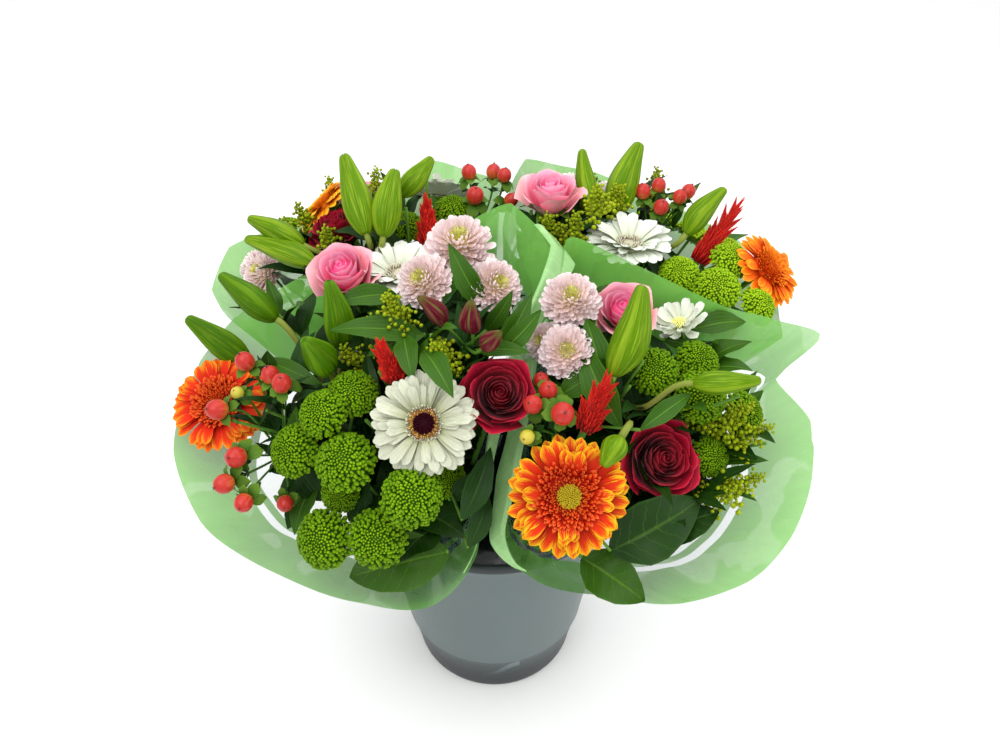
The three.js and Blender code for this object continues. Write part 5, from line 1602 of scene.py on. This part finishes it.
# Each stem's way from the bound bundle, out of the mouth and under its flower
def stemPaths(bouquet, flowers):
    middle = Vector(bouquet["spread"])
    aims = [(Vector(f["foot"][:2]) - middle) * 0.1 for f in flowers]
    spots = spacedApart(aims, 2.4 * stems["radius"], stems["bundle"] - 1.4 * stems["radius"])
    x, y = blendTo(bouquet["foot"], bouquet["mouth"], 0.5)
    mouthX, mouthY = bouquet["mouth"]
    paths = []
    for spot, flower in zip(spots, flowers):
        under = np.array(flower["foot"]) - unit(flower["face"]) * stems["straight"]
        paths.append([
            (x + spot.x, y + spot.y, stems["high"] - 0.006),
            (mouthX + stems["fan"] * spot.x, mouthY + stems["fan"] * spot.y, mouthHeight),
            under,
            flower["foot"],
        ])
    return paths


def flowerFoot(spec):  # where a flower's own stem ends, and which way the flower faces
    if "fork" in spec:
        return {"foot": spec["fork"], "face": (0, 0, 1)}
    if spec["kind"] == "plume":
        along = unit(np.subtract(spec["to"], spec["from"]))
        return {"foot": tuple(np.array(spec["from"]) + along * 0.003), "face": along}
    return {"foot": tuple(stalkEnd(spec, sunkBook[spec["kind"]])), "face": spec["face"]}


def headSpots(bouquet):  # every head's middle and how much room it takes, for leaves to keep off
    spots = []
    for spec in bouquet["flowers"].values():
        for head in spec.get("heads", [spec]):
            if "at" in head:
                spots.append((head["at"], head["across"] * 0.42))
            else:
                for t in (0.25, 0.6):
                    spots.append((blendTo(head["from"], head["to"], t), head["girth"] * 0.5))
    return np.array([s[0] for s in spots]), np.array([s[1] for s in spots])


fill = {
    "twigs": 18,  # leafy side twigs of a bouquet, which end among its flowers
    "tries": 600,
    "apart": 0.02,  # the least gap between two twigs' tips
    "clear": 0.004,  # and between a tip and a head
    "inset": (0.05, 0.86),  # from the rim's middle to its edge
    "deep": (0.01, 0.032),  # below the flowers
    "step": 0.0075,  # between two leaves of a twig or stem
    "low": 0.262,  # no leaf starts below this height
    "wide": (0.0105, 0.017), "broad": (0.024, 0.034), "length": (0.038, 0.068),
}


def roofOver(centres, spot):  # the height of the flowers above a spot
    return centres[np.argmin(np.linalg.norm(centres[:, :2] - spot[:2], axis=1)), 2]


def twigTips(bouquet, draw, wrapReach):
    centres, rooms = headSpots(bouquet)
    rim = np.array(bouquet["edge"])
    middle = rim.mean(axis=0)
    tips = []
    for _ in range(fill["tries"]):
        if len(tips) == fill["twigs"]:
            break
        spot = blendTo(middle, rim[draw.integers(len(rim))], draw.uniform(*fill["inset"]))
        spot[2] = roofOver(centres, spot) - draw.uniform(*fill["deep"])
        clear = (np.linalg.norm(centres - spot, axis=1) - rooms).min() > fill["clear"]
        alone = all(np.linalg.norm(spot - tip) > fill["apart"] for tip in tips)
        if clear and alone and wrapReach(spot[None])[0] < 0.84:
            tips.append(spot)
    return tips


# Twigs and leaves that fill the bunch under and between its flowers, clear of the film
def fillerLeaves(bouquet, paths, draw, wrapReach):
    centres, rooms = headSpots(bouquet)
    mouth = np.array([*bouquet["mouth"], fill["low"]])
    parts = []
    walks = [evenPath(path, 40) for path in paths]
    for tip in twigTips(bouquet, draw, wrapReach):
        root = nearestOn(paths, blendTo(mouth, tip, 0.2))
        bend = blendTo(root, tip, 0.5) + np.array([0, 0, 0.006])
        parts.append(stalk([root, bend, tip], stems["twig"], 14, 5))
        walks.append(evenPath([root, bend, tip], 30))
    for walk in walks:
        length = np.linalg.norm(np.diff(walk, axis=0), axis=1).sum()
        count = int(length / fill["step"])
        turn = draw.uniform(*anySpin)
        for n in range(count):
            share = (n + 0.5) / count
            root = walk[int(share * (len(walk) - 1))]
            turn += goldenTurn
            if root[2] < fill["low"]:
                continue
            depth = roofOver(centres, root) - root[2]
            rise = draw.uniform(0.35, 0.9) + 0.7 * share**4
            out = unit([math.cos(turn), math.sin(turn), rise])
            broad = depth > 0.06 and draw.uniform() < 0.4
            reach = draw.uniform(*fill["length"]) * (0.8 if share > 0.9 else 1.0)
            tip = root + out * reach
            probes = root + out * np.array([[0.35], [0.7], [1.0]]) * reach
            apart = np.linalg.norm(probes[:, None] - centres[None], axis=2) - rooms[None]
            if apart.min() < 0.001 or wrapReach(probes).max() > 0.93:
                continue
            if tip[2] > roofOver(centres, tip) + 0.006:
                continue
            up = (-out[0] * 0.4, -out[1] * 0.4, 1.0)
            wide = draw.uniform(*fill["broad" if broad else "wide"])
            # Leaves more than 3 cm below the flowers take the darker deepLeaf paint: painted shade
            form = "broadLeaf" if broad else "deepLeaf" if depth > 0.03 else "slimLeaf"
            parts.append(leafShape(root, tip, wide, up, draw.uniform(0.04, 0.14), form, draw))
    return parts


def nearestOn(paths, point):
    walk = np.concatenate([evenPath(path, 40)[14:] for path in paths])
    return walk[np.argmin(np.linalg.norm(walk - np.array(point), axis=1))]


goldenrodSize = 0.043


def goldenrodTip(start, end, number, draw):  # a spray of one size, which ends where its line ends
    along = (Vector(end) - Vector(start)).normalized()
    tip = growHead("goldenrod", number)
    spire = tube([(0, 0, -0.05), (0, 0, 0.4), (0, 0, 0.96)], [0.02, 0.015, 0.006], 5).painted("stemGreen")
    place = frameAt(Vector(end) - along * goldenrodSize, along)
    return joined([tip, spire]).scaled(goldenrodSize).shifted(draw.uniform(0, 1)).moved(place)


cuts = {"count": 15, "radius": 0.0027, "spread": 0.019, "bound": 0.0125, "top": 0.178, "bottom": 0.0046}


def cutStems(bouquet, draw):  # the bundle's stems below its tie, fanned out to the bucket's floor
    footX, footY = bouquet["foot"]
    x, y = blendTo(bouquet["foot"], bouquet["mouth"], 0.5)
    parts = []
    for n in range(cuts["count"]):
        turn = n * goldenTurn
        share = math.sqrt((n + 0.5) / cuts["count"])
        reach = share * cuts["spread"]
        bound = share * cuts["bound"]
        top = (x + bound * math.cos(turn), y + bound * math.sin(turn), cuts["top"])
        low = (footX + reach * math.cos(turn), footY + reach * math.sin(turn), cuts["bottom"])
        middle = blendTo(low, top, 0.5) + draw.uniform(-0.002, 0.002, 3)
        parts.append(stalk([low, middle, top, (top[0], top[1], stems["high"])], cuts["radius"], 9, 8))
    return parts


def greenery(bouquet, wrapReach, seed):
    draw = np.random.default_rng(seed)
    flowers = [flowerFoot(spec) for spec in bouquet["flowers"].values()]
    tips = [{"foot": start, "face": np.subtract(end, start)} for start, end in bouquet["goldenrod"]]
    paths = stemPaths(bouquet, flowers + tips)
    radii = [stems["flower"]] * len(flowers) + [stems["goldenrod"]] * len(tips)
    parts = [stalk(path, radius, 26, 8) for path, radius in zip(paths, radii)]
    parts += cutStems(bouquet, draw)
    for number, (start, end) in enumerate(bouquet["goldenrod"]):
        parts.append(goldenrodTip(start, end, number, draw))
    for leaf in bouquet["leaves"]:
        form = leaf.get("paint", "broadLeaf" if leaf["width"] > 0.03 else "slimLeaf")
        root = nearestOn(paths, leaf["from"])
        up = leaf.get("up", (0, 0, 1))
        base = np.array(leaf["from"])
        parts.append(stalk([root, blendTo(root, base, 0.5), base], stems["leaf"], 6, 5))
        parts.append(leafShape(base, leaf["to"], leaf["width"], up, leaf.get("droop", 0.12), form, draw))
    return parts + fillerLeaves(bouquet, paths, draw, wrapReach)


# Wraps

wraps = {"around": 20, "fine": 9, "rise": 9, "neck": 0.0178, "girth": 0.037, "out": 0.56, "up": 0.46}


def fullEdge(bouquet):  # the rim's points in order of angle, with more on its longest sides
    spread = bouquet["spread"]
    angle = lambda p: math.atan2(p[1] - spread[1], p[0] - spread[0])
    points = sorted((list(p) for p in bouquet["edge"]), key=angle)
    while len(points) < wraps["around"]:
        sides = [math.dist(p, points[(k + 1) % len(points)]) for k, p in enumerate(points)]
        k = int(np.argmax(sides))
        points.insert(k + 1, list(blendTo(points[k], points[(k + 1) % len(points)], 0.5)))
    return np.array(sorted(points, key=angle))


def circleAt(x, y, radius, z, count):
    angle = np.arange(count) / count * 2 * math.pi - math.pi
    return np.stack([x + radius * np.cos(angle), y + radius * np.sin(angle), np.full(count, z)], axis=-1)


# The film's fine surface: rows from below the tie up to the rim, columns round it
def wrapSurface(bouquet):
    knots = fullEdge(bouquet)
    rounded = curvePoints(knots, wraps["fine"], closed=True)
    t = np.arange(wraps["fine"])[:, None] / wraps["fine"]
    straight = np.concatenate([a + (b - a) * t for a, b in zip(knots, np.roll(knots, -1, axis=0))])
    crisp = np.where(rounded[:, 1:2] > bouquet["crisp"], 0.6, 0.12)
    rim = rounded + (straight - rounded) * crisp
    count = len(rim)
    x, y = blendTo(bouquet["foot"], bouquet["mouth"], 0.5)
    throat = circleAt(*bouquet["mouth"], wraps["girth"], mouthHeight, count)
    belly = throat.copy()
    belly[:, :2] = blendTo(throat[:, :2], rim[:, :2], wraps["out"])
    belly[:, 2] = blendTo(throat[:, 2], rim[:, 2], wraps["up"])
    low = circleAt(x, y, wraps["neck"], stems["low"] - 0.004, count)
    high = circleAt(x, y, wraps["neck"], stems["high"] + 0.001, count)
    levels = np.stack([low, high, throat, belly, rim], axis=1)
    return np.stack([curvePoints(column, wraps["rise"]) for column in levels], axis=1)


# How far out towards the film a point is, from 0 on the bunch's axis to 1 at the film
def reachOf(surface, bouquet):
    axis = np.array([*bouquet["mouth"], 0.0])
    flat = surface.reshape(-1, 3)
    turn = np.arctan2(flat[:, 1] - axis[1], flat[:, 0] - axis[0])
    radius = np.hypot(flat[:, 0] - axis[0], flat[:, 1] - axis[1])

    def reach(points):
        found = []
        for p in points:
            angle = math.atan2(p[1] - axis[1], p[0] - axis[0])
            apart = np.abs((turn - angle + math.pi) % (2 * math.pi) - math.pi)
            score = apart * 0.08 + np.abs(flat[:, 2] - p[2])
            found.append(math.hypot(p[0] - axis[0], p[1] - axis[1]) / max(radius[np.argmin(score)], 1e-4))
        return np.array(found)

    return reach


def wrapShape(surface, seed):
    draw = np.random.default_rng(seed)
    rows, count = surface.shape[:2]
    around = np.roll(surface, -1, axis=1) - np.roll(surface, 1, axis=1)
    up = np.gradient(surface, axis=0)
    outward = unit(np.cross(around, up))
    turn = np.arange(count) / count * 2 * math.pi
    t = np.linspace(0, 1, rows)[:, None]
    pleats = np.zeros((rows, count))
    for waves, low, high in ((41, 1.0, 0.0), (23, 0.9, 0.25), (13, 0.3, 1.0), (7, 0.0, 1.2), (5, 0.0, 0.8)):
        drift = draw.uniform(*anySpin) + t * draw.uniform(-0.8, 0.8)
        fold = 0.5 + 0.5 * np.sin(waves * turn + drift)
        pleats += (low + (high - low) * t) * fold * draw.uniform(0.7, 1.2)
    depth = np.interp(t, [0, 0.3, 0.55, 0.8, 1], [0.0004, 0.0008, 0.0018, 0.0022, 0.0016])
    points = surface + outward * (pleats * depth)[..., None]
    steps = np.linalg.norm(np.diff(points, axis=0), axis=2)
    inward = np.concatenate([np.cumsum(steps[::-1], axis=0)[::-1], np.zeros((1, count))])
    marks = {"along": inward, "across": turn / cycle}
    return gridShape(points, loop=True, marks=marks).painted("printedFilm")


# Where the two front wraps meet, their edges fold over outwards and hang in the gap
cuffBook = {"rows": 9, "near": 0.064, "front": -0.168, "drop": 0.8}


def cuffShape(surface, bouquet, draw):
    way, width, back = bouquet["cuff"]
    rim = surface[-1]
    meets = (np.abs(rim[:, 0]) < cuffBook["near"]) & (rim[:, 1] < back) & (rim[:, 1] > cuffBook["front"])
    line = rim[meets]
    line = line[np.argsort(line[:, 1])]
    share = np.linspace(0, 1, len(line))
    w = np.linspace(0, 1, cuffBook["rows"])[:, None]
    fullness = np.interp(share, [0, 0.3, 0.6, 1], [0, 0.5, 1, 0.35 if back < 0 else 1.9])
    wave = 0.0016 * np.sin(share * 9 + draw.uniform(0, 6)) * w
    out = way * (width * w * fullness + wave)
    fall = -width * cuffBook["drop"] * (w**1.7) * fullness
    lift = 0.0022 * np.sin(math.pi * np.clip(w * 2.2, 0, 1))
    points = line[None] + np.stack([out, -0.15 * width * w * fullness, fall + lift], axis=-1)
    # The tint mark of 0.5 gives the cuff its painted sheen in the film paint
    marks = {"along": w * width, "across": share[None], "tint": 0.5}
    return gridShape(points, marks=marks).painted("printedFilm")


# Bands and bucket

def ringBand(x, y, z, radius, thick):
    turn = evenAngles(60)
    small = evenAngles(8)[:, None]
    out = radius + thick * np.cos(small) + 0 * turn
    height = z + thick * np.sin(small) + 0 * turn
    points = np.stack([x + out * np.cos(turn), y + out * np.sin(turn), height], -1)
    closed = np.concatenate([points, points[:1]])
    return gridShape(closed, loop=True).painted("tieRubber")


tieBook = {"height": 0.185, "turns": 5, "thick": 0.0011, "radius": 0.0197}


def tieShape(bouquet, draw):
    x, y = blendTo(bouquet["foot"], bouquet["mouth"], 0.5)
    bands = []
    for n in range(tieBook["turns"]):
        z = tieBook["height"] + (n - 2) * 2.05 * tieBook["thick"]
        bands.append(ringBand(x, y, z, tieBook["radius"] + draw.uniform(-0.0003, 0.0003), tieBook["thick"]))
    return joined(bands)


bucketBook = {
    "height": 0.24, "base": 0.085, "top": 0.117, "wall": 0.0022, "floor": 0.003, "step": 0.056, "lip": 0.003,
}


def bucketShape():
    size = bucketBook
    tall, base, step = size["height"], size["base"], size["step"]
    spread = size["top"] - base
    outer = size["top"] + size["lip"]
    slope = lambda z: base + spread * z / tall
    inner = lambda z: base + spread * (z - size["floor"]) / (tall - size["floor"]) - size["wall"]
    profile = [(0, 0.0012), (0.07, 0.0012), (0.0735, 0), (0.079, 0), (0.0806, 0.0007), (0.0814, 0.0022)]
    profile += [(slope(z) - 0.0008 - 0.0026 * (1 - z / step), z) for z in np.linspace(0.008, step, 8)]
    profile += [(slope(step + 0.0018) - 0.0001, step + 0.0014)]
    profile += [(slope(step + 0.0035) + 0.0007, step + 0.0032)]
    heights = np.linspace(step + 0.007, tall - 0.0105, 18)
    profile += [(slope(z) + 0.0008 * (tall - z) / tall, z) for z in heights]
    profile += [(outer - 0.0014, tall - 0.0098), (outer - 0.0003, tall - 0.0088), (outer, tall - 0.0074)]
    profile += [(outer, tall - 0.003), (outer - 0.0006, tall - 0.0012), (outer - 0.0018, tall - 0.0001)]
    profile += [(size["top"] - size["wall"] + 0.0014, tall), (size["top"] - size["wall"], tall - 0.0012)]
    profile += [(inner(z), z) for z in np.linspace(tall - 0.006, 0.008, 16)]
    profile += [(inner(0.0045) - 0.0005, 0.0045), (inner(0.003) - 0.003, 0.0031), (0, size["floor"])]
    return lathe(profile, 120).painted("bucketGrey")


# Assembly

slotOf = {
    "orange_gerbera": "orange_petals",
    "white_gerbera": "white_petals",
    "rear_white_gerbera": "white_petals",
    "white_daisy": "white_petals",
    "red_rose": "red_petals",
    "pink_rose": "pink_petals",
    "lilac_daisies": "lilac_petals",
    "front_buttons": "green_florets",
    "side_buttons": "green_florets",
    "green_buttons": "green_florets",
    "rear_buttons": "green_florets",
    "coral_berries": "berries",
    "lily_buds": "buds",
    "alstroemeria_buds": "striped_buds",
    "red_plume": "plume",
}

seeds = {"film": 40, "cuff": 50, "tie": 70, "greens": 80, "bouquet": 20}

addPiece("florist_bucket", bucketShape(), "bucket", "bucket")
for side, bouquet in bouquets.items():
    place = list(bouquets).index(side)
    surface = wrapSurface(bouquet)
    wrap = [wrapShape(surface, seeds["film"] + place)]
    if "cuff" in bouquet:
        wrap.append(cuffShape(surface, bouquet, np.random.default_rng(seeds["cuff"] + place)))
    film = addPiece(pieceName(side, "film"), joined(wrap), "film", side + "_wrap")
    tie = tieShape(bouquet, np.random.default_rng(seeds["tie"] + place))
    band = addPiece(pieceName(side, "band"), tie, "tie", side + "_tie")
    leafage = joined(greenery(bouquet, reachOf(surface, bouquet), seeds["greens"] + place))
    greens = addPiece(pieceName(side, "leafage"), leafage, "greenery", side + "_greens")
    for number, (name, spec) in enumerate(bouquet["flowers"].items()):
        bloom = joined(bloomParts(side, name, spec, seeds["bouquet"] * place + number))
        addPiece(pieceName(side, name) + "Bloom", bloom, slotOf[name], f"{side}_{name}")
    print("bouquet made:", side)

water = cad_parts["water"]
water.data.materials.clear()
water.data.materials.append(paints["stillWater"])

for template in templates.values():
    bpy.data.objects.remove(template)


# Camera, light and floor

view = {"place": (0.006, -0.583, 0.814), "tilt": 51.7, "lens": 30.6, "sensor": 36}
camera = bpy.data.objects.new("camera", bpy.data.cameras.new("camera"))
camera.location = view["place"]
camera.rotation_euler = (math.radians(view["tilt"]), 0, 0)
camera.data.lens = view["lens"]
camera.data.sensor_width = view["sensor"]
camera.data.clip_start = 0.01
scene.collection.objects.link(camera)
scene.camera = camera

lightBook = {
    "key": {"place": (-0.5, -0.7, 1.7), "size": 1.2, "power": 14},
    "top": {"place": (0.3, 0.4, 1.9), "size": 1.6, "power": 12},
    "right": {"place": (1.3, -0.5, 0.9), "size": 1.0, "power": 5},
}
for name, lamp in lightBook.items():
    light = bpy.data.objects.new(name, bpy.data.lights.new(name, "AREA"))
    light.data.size = lamp["size"]
    light.data.energy = lamp["power"]
    light.location = lamp["place"]
    aim = Vector((0, 0, 0.35)) - light.location
    light.rotation_euler = aim.to_track_quat("-Z", "Y").to_euler()
    scene.collection.objects.link(light)

world = bpy.data.worlds.new("studio")
world.use_nodes = True
world.node_tree.nodes["Background"].inputs["Color"].default_value = (1, 1, 1, 1)
world.node_tree.nodes["Background"].inputs["Strength"].default_value = 1.0
scene.world = world
scene.view_settings.view_transform = "Standard"

floorSize = 12.0
corners = [(x * floorSize, y * floorSize, 0) for x, y in ((-1, -1), (1, -1), (1, 1), (-1, 1))]
ground = Shape(corners, [0, 1, 2, 3], [4]).painted("paleFloor")
floor = bpy.data.objects.new("floor", meshOfShape(ground, "floor"))
scene.collection.objects.link(floor)
shown = [item.data for item in scene.objects if item.type == "MESH" and not item.hide_render]
print("triangles:", sum(len(face.vertices) - 2 for mesh in shown for face in mesh.polygons))
